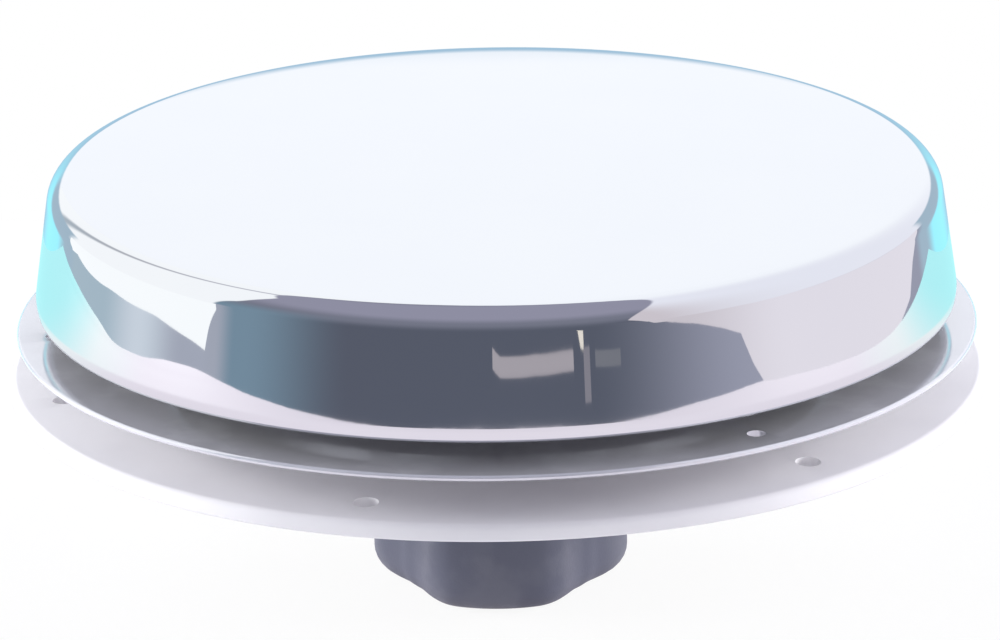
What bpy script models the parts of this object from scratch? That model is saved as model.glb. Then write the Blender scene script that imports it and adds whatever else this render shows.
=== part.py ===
"""Closable mushroom ventilator for a deck: a polished dome that a hand knob lifts from below.

Units are metres, +Z is up. The origin is on the axis, in the plane of the deck.
"""
import math

import bmesh
import bpy
from mathutils import Matrix, Vector

# Fits and sheet
GAP = 0.0003
SHEET = 0.0012
EDGE_ROUND = SHEET / 2
BIG_STEPS = 48
SMALL_STEPS = 16
SCREW_STEPS = 8

# Deck flange
FLANGE_RADIUS = 0.100
FLANGE_RIM = 0.0036
FLANGE_ROUND = 0.0014
FLANGE_FALL = math.radians(3.5)
PEDESTAL_RADIUS = 0.075
SEALANT_GROOVE_INSET = 0.0027
SEALANT_GROOVE_WIDTH = 0.009
SEALANT_GROOVE_DEPTH = 0.0025
DECK_HOLES = 6
DECK_HOLE_INSET = 0.0095
DECK_HOLE_RADIUS = 0.0026
DECK_HOLE_ANGLE = math.radians(-107.0)

# Throat sleeve
THROAT_RADIUS = 0.056
SLEEVE_WALL = 0.003
SLEEVE_DEPTH = 0.010
SLEEVE_COLLAR_WIDTH = 0.0044
SLEEVE_COLLAR_THICKNESS = 0.0012
LEDGE_DEPTH = 0.004
LEDGE_WIDTH = 0.006

# Water tray
TRAY_RADIUS = 0.0986
TRAY_TOP = 0.0133
COLLAR_RADIUS = 0.066
COLLAR_TOP = 0.024
COLLAR_BEND = 0.0025
DRAIN_HOLES = 3
DRAIN_CIRCLE = 0.0908
DRAIN_RADIUS = 0.0019
DRAIN_ANGLE = math.radians(-55.7)

# Dome
AIR_GAP = 0.0051
DOME_RADIUS = 0.0944
DOME_TOP = 0.0470
DOME_EDGE = 0.0452
DOME_FLARE = math.radians(7.7)
SHOULDER_ROUND = 0.005
HEM_HEIGHT = 0.0034
HEM_THICKNESS = 0.0026

# Valve on the dome
SEAL_GAP = 0.0049
SEAL_WIDTH = 0.006
SEAL_HEIGHT = 0.0023
PLATE_RADIUS = 0.070
PLATE_THICKNESS = 0.0015
BOSS_TOP_RADIUS = 0.022
BOSS_LOW_RADIUS = 0.020
BOSS_NECK_RADIUS = 0.009
BOSS_RIM = 0.0022
NUT_RADIUS = 0.0075
NUT_HEIGHT = 0.0063

# Spider, screen and guides in the throat
SPIDER_THICKNESS = 0.0035
SPIDER_RING_WIDTH = 0.009
ARM_COUNT = 3
ARM_WIDTH = 0.008
ARM_ANGLE = math.radians(90.0)
HUB_RADIUS = 0.010
HUB_TOP = 0.001
HUB_BOTTOM = -0.009
SCREEN_THICKNESS = 0.0008
SCREEN_EYE = 0.012
SCREEN_RINGS = 2
SCREEN_FIRST_RING = 0.0225
SCREEN_RING_PITCH = 0.0145
SCREEN_HOLE_RADIUS = 0.0056
SCREEN_HOLE_PITCH = 0.0134
SCREEN_TURN = math.radians(10.0)
SCREEN_RING_THICKNESS = 0.0015
THROAT_SCREW_INSET = 0.0035
GUIDE_CIRCLE = 0.030
GUIDE_RADIUS = 0.0022
GUIDE_SHANK = 0.0013
GUIDE_TOP = 0.0400

# Spindle and knob
SPINDLE_RADIUS = 0.004
SPINDLE_TIP = 0.038
SHOULDER_RADIUS = 0.0075
SHOULDER_HEIGHT = 0.002
WASHER_RADIUS = 0.0085
WASHER_THICKNESS = 0.001
BUSH_RADIUS = 0.006
BUSH_RIM = 0.0013
CLIP_RADIUS = 0.0065
CLIP_THICKNESS = 0.0012
CLIP_GROOVE = 0.0033
KNOB_RADIUS = 0.0265
KNOB_VALLEY = 0.0219
KNOB_LOBES = 3
KNOB_STEPS = 20 * KNOB_LOBES
KNOB_TURN = math.radians(28.0)
KNOB_LOBE_EDGE = math.radians(20.0)
KNOB_FLUTE_EDGE = math.radians(55.0)
KNOB_TOP = -0.0185
KNOB_BOTTOM = -0.0421
KNOB_ROUND = 0.0055
KNOB_NECK_RADIUS = 0.011
KNOB_NECK_TOP = -0.015
KNOB_BORE_DEPTH = 0.018
INSERT_RADIUS = 0.0072
KNOB_PIN_RADIUS = 0.0015

# Small screws
SCREW_SHANK = 0.00125
SCREW_HEAD = 0.0023
SCREW_HEAD_HEIGHT = 0.0016
TRAY_SCREW_INSET = 0.0028
TRAY_SCREW_ANGLE = math.radians(30.0)
TRAY_SCREW_LENGTH = 0.007
THROAT_SCREW_ANGLE = math.radians(30.0)
THROAT_SCREW_LENGTH = 0.011
PLATE_SCREW_CIRCLE = 0.0145
PLATE_SCREW_ANGLE = math.radians(30.0)
PLATE_SCREW_LENGTH = 0.0034
SCREWS_PER_SET = 3

# Radii and heights that follow from the sizes above
SLEEVE_RADIUS = THROAT_RADIUS + SLEEVE_WALL
DECK_HOLE_CIRCLE = FLANGE_RADIUS - DECK_HOLE_INSET
TRAY_SCREW_CIRCLE = PEDESTAL_RADIUS - TRAY_SCREW_INSET
THROAT_SCREW_CIRCLE = THROAT_RADIUS - THROAT_SCREW_INSET
SPIDER_RING_INNER = THROAT_RADIUS - SPIDER_RING_WIDTH
TRAY_UNDERSIDE = TRAY_TOP - SHEET
PEDESTAL_TOP = TRAY_UNDERSIDE - GAP
LIP_BOTTOM = TRAY_TOP + AIR_GAP
SEAL_BOTTOM = COLLAR_TOP + SEAL_GAP
PLATE_BOTTOM = SEAL_BOTTOM + SEAL_HEIGHT + GAP
PLATE_TOP = PLATE_BOTTOM + PLATE_THICKNESS
SPIDER_BOTTOM = GAP - LEDGE_DEPTH
SPIDER_TOP = SPIDER_BOTTOM + SPIDER_THICKNESS
SCREEN_BOTTOM = SPIDER_TOP + GAP
SCREEN_TOP = SCREEN_BOTTOM + SCREEN_THICKNESS
SCREEN_RING_BOTTOM = SCREEN_TOP + GAP
SCREEN_RING_TOP = SCREEN_RING_BOTTOM + SCREEN_RING_THICKNESS
UPPER_WASHER_BOTTOM = HUB_TOP + GAP
SHOULDER_BOTTOM = UPPER_WASHER_BOTTOM + WASHER_THICKNESS + GAP
BUSH_BOTTOM = HUB_BOTTOM - GAP - BUSH_RIM
LOWER_WASHER_TOP = BUSH_BOTTOM - GAP
CLIP_TOP = LOWER_WASHER_TOP - WASHER_THICKNESS - GAP
KNOB_PIN_HEIGHT = (KNOB_NECK_TOP + KNOB_TOP) / 2
INSERT_BOTTOM = KNOB_NECK_TOP - KNOB_BORE_DEPTH + GAP
SPINDLE_BOTTOM = INSERT_BOTTOM


def polar(radius, angle):
    return (radius * math.cos(angle), radius * math.sin(angle))


def ring_places(count, radius, first_angle):
    return [polar(radius, first_angle + 2 * math.pi * index / count) for index in range(count)]


# Places that repeat around the axis
TRAY_SCREWS = ring_places(SCREWS_PER_SET, TRAY_SCREW_CIRCLE, TRAY_SCREW_ANGLE)
THROAT_SCREWS = ring_places(SCREWS_PER_SET, THROAT_SCREW_CIRCLE, THROAT_SCREW_ANGLE)
PLATE_SCREWS = ring_places(SCREWS_PER_SET, PLATE_SCREW_CIRCLE, PLATE_SCREW_ANGLE)
GUIDES = ring_places(ARM_COUNT, GUIDE_CIRCLE, ARM_ANGLE)


def clear_scene():
    for thing in list(bpy.data.objects):
        bpy.data.objects.remove(thing, do_unlink=True)


def new_collection(name):
    group = bpy.data.collections.new(name)
    bpy.context.scene.collection.children.link(group)
    return group


def make_material(name, colour, metallic, roughness):
    material = bpy.data.materials.new(name)
    material.use_nodes = True
    shader = material.node_tree.nodes["Principled BSDF"]
    shader.inputs["Base Color"].default_value = (*colour, 1.0)
    shader.inputs["Metallic"].default_value = metallic
    shader.inputs["Roughness"].default_value = roughness
    return material


def arc(centre, radius, start, end, count):
    """Points on a round stretch of a profile, angles in degrees from the outward direction."""
    points = []
    for index in range(count + 1):
        angle = math.radians(start + (end - start) * index / count)
        points.append((centre[0] + radius * math.cos(angle), centre[1] + radius * math.sin(angle)))
    return points


class Workshop:
    """Makes the pieces and keeps the collections, carriers and materials they use."""

    def __init__(self):
        self.parts = new_collection("deck_ventilator")
        self.cutters = new_collection("cutters")
        self.dome_carrier = self.carrier("dome_carrier")
        self.knob_carrier = self.carrier("knob_carrier")

    def carrier(self, name):
        empty = bpy.data.objects.new(name, None)
        self.parts.objects.link(empty)
        return empty

    def piece(self, name, mesh, material, carrier=None):
        thing = bpy.data.objects.new(name, mesh)
        mesh.materials.append(material)
        mesh.shade_smooth()
        mesh.set_sharp_from_angle(angle=math.radians(35))
        thing.parent = carrier
        self.parts.objects.link(thing)
        return thing

    def turned(self, name, profile, material, carrier=None, steps=SMALL_STEPS, closed=True):
        """Turn a profile about the axis; it runs down the outer side of the piece."""
        mesh = bpy.data.meshes.new(name)
        links = [(index, index + 1) for index in range(len(profile) - 1)]
        if closed:
            links.append((len(profile) - 1, 0))
        mesh.from_pydata([(radius, 0.0, height) for radius, height in profile], links, [])
        thing = self.piece(name, mesh, material, carrier)
        screw = thing.modifiers.new("turn", "SCREW")
        screw.axis = "Z"
        screw.steps = steps
        screw.render_steps = steps
        screw.use_merge_vertices = True
        screw.merge_threshold = 0.00001
        screw.use_smooth_shade = True
        return thing

    def rods(self, name, places, radius, low, high, sides=12, turn=0.0):
        """One cutter of upright rods."""
        mesh = bpy.data.meshes.new(name)
        shape = bmesh.new()
        for x, y in places:
            place = Matrix.Translation((x, y, (low + high) / 2)) @ Matrix.Rotation(turn, 4, "Z")
            bmesh.ops.create_cone(shape, cap_ends=True, segments=sides, radius1=radius,
                                  radius2=radius, depth=high - low, matrix=place)
        shape.to_mesh(mesh)
        shape.free()
        return self.cutter(name, mesh)

    def cutter(self, name, mesh):
        thing = bpy.data.objects.new(name, mesh)
        thing.hide_render = True
        thing.display_type = "WIRE"
        self.cutters.objects.link(thing)
        return thing

    def screw_holes(self, thing, places, low, high):
        """Cut clearance holes for one set of small screws."""
        name = thing.name + "_screw_holes_%d" % len(thing.modifiers)
        self.combine(thing, self.rods(name, places, SCREW_SHANK + GAP, low, high, SCREW_STEPS))

    def combine(self, thing, other, operation="DIFFERENCE"):
        step = thing.modifiers.new(other.name, "BOOLEAN")
        step.operation = operation
        step.object = other


def deck_flange(shop, material):
    """Moulded flange: rim, falling top, pedestal, rebated bore and a groove for sealant below."""
    slope_top = FLANGE_RIM + (FLANGE_RADIUS - FLANGE_ROUND - PEDESTAL_RADIUS) * math.tan(FLANGE_FALL)
    bore = SLEEVE_RADIUS + GAP
    rebate_radius = bore + SLEEVE_COLLAR_WIDTH
    rebate_floor = PEDESTAL_TOP - SLEEVE_COLLAR_THICKNESS - GAP
    groove_inner = bore + SEALANT_GROOVE_INSET
    groove_outer = groove_inner + SEALANT_GROOVE_WIDTH
    rim_centre = (FLANGE_RADIUS - FLANGE_ROUND, FLANGE_RIM - FLANGE_ROUND)
    foot_centre = (FLANGE_RADIUS - EDGE_ROUND, EDGE_ROUND)
    root = 2 * EDGE_ROUND
    profile = [(rebate_radius, PEDESTAL_TOP)]
    profile += [(PEDESTAL_RADIUS - EDGE_ROUND, PEDESTAL_TOP)]
    profile += [(PEDESTAL_RADIUS, PEDESTAL_TOP - EDGE_ROUND)]
    profile += [(PEDESTAL_RADIUS, slope_top + root), (PEDESTAL_RADIUS + root, slope_top)]
    profile += arc(rim_centre, FLANGE_ROUND, 87, 0, 3)
    profile += arc(foot_centre, EDGE_ROUND, 0, -90, 1)
    profile += [(groove_outer, 0.0), (groove_outer, SEALANT_GROOVE_DEPTH)]
    profile += [(groove_inner, SEALANT_GROOVE_DEPTH), (groove_inner, 0.0)]
    profile += [(bore, 0.0), (bore, rebate_floor), (rebate_radius, rebate_floor)]
    flange = shop.turned("deck_flange", profile, material, steps=BIG_STEPS)
    holes = ring_places(DECK_HOLES, DECK_HOLE_CIRCLE, DECK_HOLE_ANGLE)
    shop.combine(flange, shop.rods("deck_hole_cutter", holes, DECK_HOLE_RADIUS, -GAP, TRAY_UNDERSIDE))
    shop.screw_holes(flange, TRAY_SCREWS, TRAY_TOP - TRAY_SCREW_LENGTH - GAP, TRAY_TOP)
    return flange


def throat_sleeve(shop, material):
    """Duct sleeve through the deck: its collar lies in the flange's rebate, its ledge carries the spider."""
    collar_radius = SLEEVE_RADIUS + SLEEVE_COLLAR_WIDTH
    collar_low = PEDESTAL_TOP - SLEEVE_COLLAR_THICKNESS
    ledge_radius = THROAT_RADIUS - LEDGE_WIDTH
    profile = [(THROAT_RADIUS, PEDESTAL_TOP), (collar_radius, PEDESTAL_TOP), (collar_radius, collar_low)]
    profile += [(SLEEVE_RADIUS, collar_low), (SLEEVE_RADIUS, -SLEEVE_DEPTH)]
    profile += [(ledge_radius, -SLEEVE_DEPTH), (ledge_radius, -LEDGE_DEPTH)]
    profile += [(THROAT_RADIUS, -LEDGE_DEPTH)]
    sleeve = shop.turned("throat_sleeve", profile, material, steps=BIG_STEPS)
    shop.screw_holes(sleeve, THROAT_SCREWS, SCREEN_RING_TOP - THROAT_SCREW_LENGTH - GAP, 0.0)
    return sleeve


def water_tray(shop, material):
    """Flat disc with a rounded edge; its middle turns up into the throat collar."""
    bend_centre = (COLLAR_RADIUS + COLLAR_BEND, TRAY_TOP + COLLAR_BEND)
    edge_centre = (TRAY_RADIUS - EDGE_ROUND, TRAY_TOP - EDGE_ROUND)
    lip_centre = (COLLAR_RADIUS - EDGE_ROUND, COLLAR_TOP - EDGE_ROUND)
    profile = arc(lip_centre, EDGE_ROUND, 180, 0, 3)
    profile += arc(bend_centre, COLLAR_BEND, 180, 270, 3)
    profile += arc(edge_centre, EDGE_ROUND, 90, -90, 3)
    profile += arc(bend_centre, COLLAR_BEND + SHEET, 270, 180, 3)
    tray = shop.turned("water_tray", profile, material, steps=BIG_STEPS)
    drains = ring_places(DRAIN_HOLES, DRAIN_CIRCLE, DRAIN_ANGLE)
    shop.combine(tray, shop.rods("drain_cutter", drains, DRAIN_RADIUS, 0.0, DOME_TOP))
    shop.screw_holes(tray, TRAY_SCREWS, 0.0, DOME_TOP)
    return tray


def wall_radius(height):
    """Outer radius of the dome's flared wall."""
    return DOME_RADIUS - (height - LIP_BOTTOM - HEM_HEIGHT) * math.tan(DOME_FLARE)


def crown_height(radius):
    """Height of the dome's crowned top, a shallow spherical cap."""
    edge = wall_radius(DOME_EDGE) - SHOULDER_ROUND
    return DOME_TOP - (DOME_TOP - DOME_EDGE) * (radius / edge) ** 2


def dome_cover(shop, material):
    """Spun shell: crowned top, round shoulder, flared wall and a hem rolled to the inside."""
    flare = math.degrees(DOME_FLARE)
    shoulder_height = DOME_EDGE - SHOULDER_ROUND
    shoulder = (wall_radius(shoulder_height) - SHOULDER_ROUND / math.cos(DOME_FLARE), shoulder_height)
    crown = [(shoulder[0] * step / 4, crown_height(shoulder[0] * step / 4)) for step in range(4)]
    hem_top = LIP_BOTTOM + HEM_HEIGHT
    outer = crown + arc(shoulder, SHOULDER_ROUND, 87, flare, 5) + [(DOME_RADIUS, hem_top)]
    hem_radius = HEM_THICKNESS / 2
    hem_centre = (DOME_RADIUS - hem_radius, LIP_BOTTOM + hem_radius)
    hem = arc(hem_centre, hem_radius, 0, -180, 4)
    inner = [(DOME_RADIUS - HEM_THICKNESS, hem_top - EDGE_ROUND)]
    inner += [(DOME_RADIUS - SHEET, hem_top + EDGE_ROUND)]
    inner += arc(shoulder, SHOULDER_ROUND - SHEET, flare, 87, 3)
    inner += [(radius, height - SHEET) for radius, height in reversed(crown)]
    return shop.turned("dome_cover", outer + hem + inner, material, shop.dome_carrier,
                       BIG_STEPS, closed=False)


def dome_boss(shop, material):
    """Spool between the dome and the valve plate, bored for the spindle."""
    top = crown_height(BOSS_TOP_RADIUS) - SHEET - GAP
    low = PLATE_TOP + GAP
    bore = SPINDLE_RADIUS + 2 * GAP
    profile = [(bore, top), (BOSS_TOP_RADIUS, top), (BOSS_TOP_RADIUS, top - BOSS_RIM)]
    profile += [(BOSS_NECK_RADIUS, top - 2 * BOSS_RIM), (BOSS_NECK_RADIUS, low + 2 * BOSS_RIM)]
    profile += [(BOSS_LOW_RADIUS, low + BOSS_RIM), (BOSS_LOW_RADIUS, low), (bore, low)]
    boss = shop.turned("dome_boss", profile, material, shop.dome_carrier)
    shop.screw_holes(boss, PLATE_SCREWS, 0.0, PLATE_BOTTOM + PLATE_SCREW_LENGTH + GAP)
    return boss


def valve_plate(shop, material):
    bore = SPINDLE_RADIUS + 2 * GAP
    edge_centre = (PLATE_RADIUS - PLATE_THICKNESS / 2, PLATE_TOP - PLATE_THICKNESS / 2)
    profile = [(bore, PLATE_TOP)] + arc(edge_centre, PLATE_THICKNESS / 2, 90, -90, 2)
    profile += [(bore, PLATE_BOTTOM)]
    plate = shop.turned("valve_plate", profile, material, shop.dome_carrier, BIG_STEPS)
    shop.combine(plate, shop.rods("guide_hole_cutter", GUIDES, GUIDE_RADIUS + 2 * GAP, 0.0, DOME_TOP))
    shop.screw_holes(plate, PLATE_SCREWS, 0.0, DOME_TOP)
    return plate


def valve_seal(shop, material):
    """Rubber ring under the valve plate, flat above and rounded where it meets the collar."""
    middle = COLLAR_RADIUS - SHEET / 2
    half = SEAL_WIDTH / 2
    seal_round = SEAL_HEIGHT / 2
    top = PLATE_BOTTOM - GAP
    outer = (middle + half - seal_round, SEAL_BOTTOM + seal_round)
    inner = (middle - half + seal_round, SEAL_BOTTOM + seal_round)
    profile = [(middle - half, top), (middle + half, top)]
    profile += arc(outer, seal_round, 0, -90, 1) + arc(inner, seal_round, 270, 180, 1)
    return shop.turned("valve_seal", profile, material, shop.dome_carrier, BIG_STEPS)


def hexagon(shop, name, radius, bore, low, high, material, carrier):
    """Hexagonal bar, drilled through."""
    mesh = bpy.data.meshes.new(name)
    shape = bmesh.new()
    place = Matrix.Translation((0, 0, (low + high) / 2))
    bmesh.ops.create_cone(shape, cap_ends=True, segments=6, radius1=radius, radius2=radius,
                          depth=high - low, matrix=place)
    shape.to_mesh(mesh)
    shape.free()
    bar = shop.piece(name, mesh, material, carrier)
    drill = shop.rods(name + "_bore", [(0, 0)], bore, low - GAP, high + GAP, SMALL_STEPS)
    shop.combine(bar, drill)
    return bar


def spider(shop, material):
    """Ring and hub joined by three arms, one body."""
    ring_outer = THROAT_RADIUS - GAP
    low, high = SPIDER_BOTTOM, SPIDER_TOP
    profile = [(SPIDER_RING_INNER, high), (ring_outer, high), (ring_outer, low), (SPIDER_RING_INNER, low)]
    frame = shop.turned("spider", profile, material, steps=BIG_STEPS)
    hub = shop.rods("spider_hub", [(0, 0)], HUB_RADIUS, HUB_BOTTOM, HUB_TOP, SMALL_STEPS)
    reach = (SPIDER_RING_INNER + ring_outer) / 2
    for index in range(ARM_COUNT):
        angle = ARM_ANGLE + 2 * math.pi * index / ARM_COUNT
        mesh = bpy.data.meshes.new("spider_arm")
        shape = bmesh.new()
        turn = Matrix.Rotation(angle, 4, "Z")
        middle = Matrix.Translation((reach / 2, 0, (low + high) / 2))
        size = Matrix.Diagonal((reach, ARM_WIDTH, high - low - 2 * GAP, 1.0))
        bmesh.ops.create_cube(shape, size=1.0, matrix=turn @ middle @ size)
        shape.to_mesh(mesh)
        shape.free()
        shop.combine(hub, shop.cutter("spider_arm_%d" % (index + 1), mesh), "UNION")
    shop.combine(frame, hub, "UNION")
    shop.combine(frame, shop.rods("hub_bore", [(0, 0)], BUSH_RADIUS + GAP, HUB_BOTTOM - GAP, HUB_TOP + GAP,
                                  SMALL_STEPS))
    shop.combine(frame, shop.rods("guide_shank_cutter", GUIDES, GUIDE_SHANK + GAP, low - GAP, high + GAP))
    shop.screw_holes(frame, THROAT_SCREWS, low - GAP, high + GAP)
    return frame


def insect_screen(shop, material):
    """Perforated disc; the holes stand on rings, with more of them further out."""
    outer = THROAT_RADIUS - GAP
    profile = [(SCREEN_EYE, SCREEN_TOP), (outer, SCREEN_TOP), (outer, SCREEN_BOTTOM)]
    profile += [(SCREEN_EYE, SCREEN_BOTTOM)]
    screen = shop.turned("insect_screen", profile, material, steps=BIG_STEPS)
    low, high = SCREEN_BOTTOM - GAP, SCREEN_TOP + GAP
    holes = []
    for ring in range(SCREEN_RINGS):
        radius = SCREEN_FIRST_RING + ring * SCREEN_RING_PITCH
        count = int(2 * math.pi * radius / SCREEN_HOLE_PITCH)
        for place in ring_places(count, radius, ARM_ANGLE + math.pi / count):
            clear = [math.dist(place, guide) for guide in GUIDES]
            if min(clear) > SCREEN_HOLE_RADIUS + 2 * GUIDE_RADIUS:
                holes.append(place)
    shop.combine(screen, shop.rods("screen_cutter", holes, SCREEN_HOLE_RADIUS, low, high,
                                   SCREW_STEPS, SCREEN_TURN))
    shop.combine(screen, shop.rods("screen_guide_cutter", GUIDES, GUIDE_RADIUS + GAP, low, high))
    shop.screw_holes(screen, THROAT_SCREWS, low, high)
    return screen


def screen_ring(shop, material):
    outer = THROAT_RADIUS - GAP
    low, high = SCREEN_RING_BOTTOM, SCREEN_RING_TOP
    profile = [(SPIDER_RING_INNER, high), (outer, high), (outer, low), (SPIDER_RING_INNER, low)]
    ring = shop.turned("screen_ring", profile, material, steps=BIG_STEPS)
    shop.screw_holes(ring, THROAT_SCREWS, low - GAP, high + GAP)
    return ring


def screw_set(shop, name, places, seat, length, upward, material, carrier=None):
    """Pan-head screws; the head sits on the seat and the shank points the other way."""
    sign = -1 if upward else 1
    head_top = seat + sign * (GAP + SCREW_HEAD_HEIGHT)
    head_low = seat + sign * GAP
    tip = seat - sign * length
    round_off = SCREW_HEAD * 0.3
    profile = [(0.0, head_top), (SCREW_HEAD - round_off, head_top)]
    profile += [(SCREW_HEAD, head_top - sign * round_off), (SCREW_HEAD, head_low)]
    profile += [(SCREW_SHANK, head_low), (SCREW_SHANK, tip), (0.0, tip)]
    if upward:
        profile.reverse()
    for index, (x, y) in enumerate(places):
        label = "%s_%d" % (name, index + 1)
        screw = shop.turned(label, profile, material, carrier, SCREW_STEPS, closed=False)
        screw.location = (x, y, 0.0)


def guide_pins(shop, material):
    low = SPIDER_BOTTOM
    foot = SPIDER_TOP + GAP
    tip = (GUIDE_RADIUS * 0.6, GUIDE_TOP)
    profile = [(0.0, GUIDE_TOP), tip, (GUIDE_RADIUS, GUIDE_TOP - GUIDE_RADIUS * 0.4)]
    profile += [(GUIDE_RADIUS, foot), (GUIDE_SHANK, foot), (GUIDE_SHANK, low), (0.0, low)]
    for index, (x, y) in enumerate(GUIDES):
        pin = shop.turned("guide_pin_%d" % (index + 1), profile, material, None, SCREW_STEPS, closed=False)
        pin.location = (x, y, 0.0)


def spindle_bush(shop, material):
    bore = SPINDLE_RADIUS + GAP
    rim_top = HUB_BOTTOM - GAP
    profile = [(bore, HUB_TOP), (BUSH_RADIUS, HUB_TOP), (BUSH_RADIUS, rim_top), (WASHER_RADIUS, rim_top)]
    profile += [(WASHER_RADIUS, BUSH_BOTTOM), (bore, BUSH_BOTTOM)]
    return shop.turned("spindle_bush", profile, material)


def washers(shop, material):
    bore = SPINDLE_RADIUS + GAP
    tops = {"upper_washer": UPPER_WASHER_BOTTOM + WASHER_THICKNESS, "lower_washer": LOWER_WASHER_TOP}
    for name, top in tops.items():
        low = top - WASHER_THICKNESS
        profile = [(bore, top), (WASHER_RADIUS, top), (WASHER_RADIUS, low), (bore, low)]
        shop.turned(name, profile, material, shop.knob_carrier)


def spindle(shop, material):
    """Screw spindle with a shoulder above the hub and a groove for the clip below it."""
    shoulder_top = SHOULDER_BOTTOM + SHOULDER_HEIGHT
    tip_round = SPINDLE_RADIUS * 0.3
    groove_top = CLIP_TOP + GAP
    groove_low = CLIP_TOP - CLIP_THICKNESS - GAP
    profile = [(0.0, SPINDLE_TIP), (SPINDLE_RADIUS - tip_round, SPINDLE_TIP)]
    profile += [(SPINDLE_RADIUS, SPINDLE_TIP - tip_round), (SPINDLE_RADIUS, shoulder_top)]
    profile += [(SHOULDER_RADIUS, shoulder_top), (SHOULDER_RADIUS, SHOULDER_BOTTOM)]
    profile += [(SPINDLE_RADIUS, SHOULDER_BOTTOM), (SPINDLE_RADIUS, groove_top)]
    profile += [(CLIP_GROOVE, groove_top), (CLIP_GROOVE, groove_low), (SPINDLE_RADIUS, groove_low)]
    profile += [(SPINDLE_RADIUS, SPINDLE_BOTTOM), (0.0, SPINDLE_BOTTOM)]
    shaft = shop.turned("spindle", profile, material, shop.knob_carrier, closed=False)
    shop.combine(shaft, cross_drill(shop, "spindle_drill"))
    return shaft


def cross_drill(shop, name):
    """Cutter for the cross pin's hole, along X through neck, insert and spindle."""
    mesh = bpy.data.meshes.new(name)
    shape = bmesh.new()
    place = Matrix.Translation((0, 0, KNOB_PIN_HEIGHT)) @ Matrix.Rotation(math.pi / 2, 4, "Y")
    bmesh.ops.create_cone(shape, cap_ends=True, segments=12, radius1=KNOB_PIN_RADIUS + GAP,
                          radius2=KNOB_PIN_RADIUS + GAP, depth=3 * KNOB_NECK_RADIUS, matrix=place)
    shape.to_mesh(mesh)
    shape.free()
    return shop.cutter(name, mesh)


def spindle_clip(shop, material):
    """Ring in the spindle's groove, open on one side."""
    bore = CLIP_GROOVE + GAP
    low = CLIP_TOP - CLIP_THICKNESS
    profile = [(bore, CLIP_TOP), (CLIP_RADIUS, CLIP_TOP), (CLIP_RADIUS, low), (bore, low)]
    clip = shop.turned("spindle_clip", profile, material, shop.knob_carrier)
    mouth = shop.rods("clip_mouth", [(0.0, -CLIP_RADIUS)], CLIP_GROOVE, low - GAP, CLIP_TOP + GAP,
                      4, math.pi / 4)
    shop.combine(clip, mouth)
    return clip


def lobe_share(angle):
    """Share of the knob's full radius at an angle: broad lobes with wide round flutes between them."""
    spacing = 2 * math.pi / KNOB_LOBES
    aside = abs((angle - KNOB_TURN + spacing / 2) % spacing - spacing / 2)
    climb = (KNOB_FLUTE_EDGE - aside) / (KNOB_FLUTE_EDGE - KNOB_LOBE_EDGE)
    climb = min(max(climb, 0.0), 1.0)
    swell = climb * climb * (3 - 2 * climb)
    return (KNOB_VALLEY + (KNOB_RADIUS - KNOB_VALLEY) * swell) / KNOB_RADIUS


def hand_knob(shop, material):
    """Moulded knob: a turned body drawn in to three lobes, and a neck around the spindle."""
    upper = (KNOB_RADIUS - KNOB_ROUND, KNOB_TOP - KNOB_ROUND)
    lower = (KNOB_RADIUS - KNOB_ROUND, KNOB_BOTTOM + KNOB_ROUND)
    profile = [(0.0, KNOB_TOP)] + arc(upper, KNOB_ROUND, 90, 0, 3)
    profile += arc(lower, KNOB_ROUND, 0, -90, 3) + [(0.0, KNOB_BOTTOM)]
    blank = shop.turned("knob_blank", profile, material, steps=KNOB_STEPS, closed=False)
    bpy.context.view_layer.update()
    mesh = bpy.data.meshes.new_from_object(blank.evaluated_get(bpy.context.evaluated_depsgraph_get()))
    bpy.data.objects.remove(blank)
    mesh.name = "hand_knob"
    for point in mesh.vertices:
        share = lobe_share(math.atan2(point.co.y, point.co.x))
        point.co.x *= share
        point.co.y *= share
    mesh.materials.clear()
    knob = shop.piece("hand_knob", mesh, material, shop.knob_carrier)
    neck_low = KNOB_TOP - KNOB_ROUND
    neck = shop.rods("knob_neck", [(0, 0)], KNOB_NECK_RADIUS, neck_low, KNOB_NECK_TOP, SMALL_STEPS)
    shop.combine(knob, neck, "UNION")
    pocket_low = KNOB_NECK_TOP - KNOB_BORE_DEPTH
    pocket = shop.rods("insert_pocket", [(0, 0)], INSERT_RADIUS + 2 * GAP, pocket_low, 0.0, 6)
    shop.combine(knob, pocket)
    shop.combine(knob, cross_drill(shop, "knob_drill"))
    return knob


def knob_insert(shop, material):
    bore = SPINDLE_RADIUS + GAP
    insert = hexagon(shop, "knob_insert", INSERT_RADIUS, bore, INSERT_BOTTOM, KNOB_NECK_TOP, material,
                     shop.knob_carrier)
    shop.combine(insert, cross_drill(shop, "insert_drill"))
    return insert


def knob_pin(shop, material):
    half = KNOB_NECK_RADIUS - 2 * GAP
    tip = KNOB_PIN_RADIUS * 0.3
    profile = [(0.0, half), (KNOB_PIN_RADIUS - tip, half), (KNOB_PIN_RADIUS, half - tip)]
    profile += [(KNOB_PIN_RADIUS, tip - half), (KNOB_PIN_RADIUS - tip, -half), (0.0, -half)]
    pin = shop.turned("knob_pin", profile, material, shop.knob_carrier, SCREW_STEPS, closed=False)
    pin.location = Vector((0.0, 0.0, KNOB_PIN_HEIGHT))
    pin.rotation_euler = (0.0, math.pi / 2, 0.0)
    return pin


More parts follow.
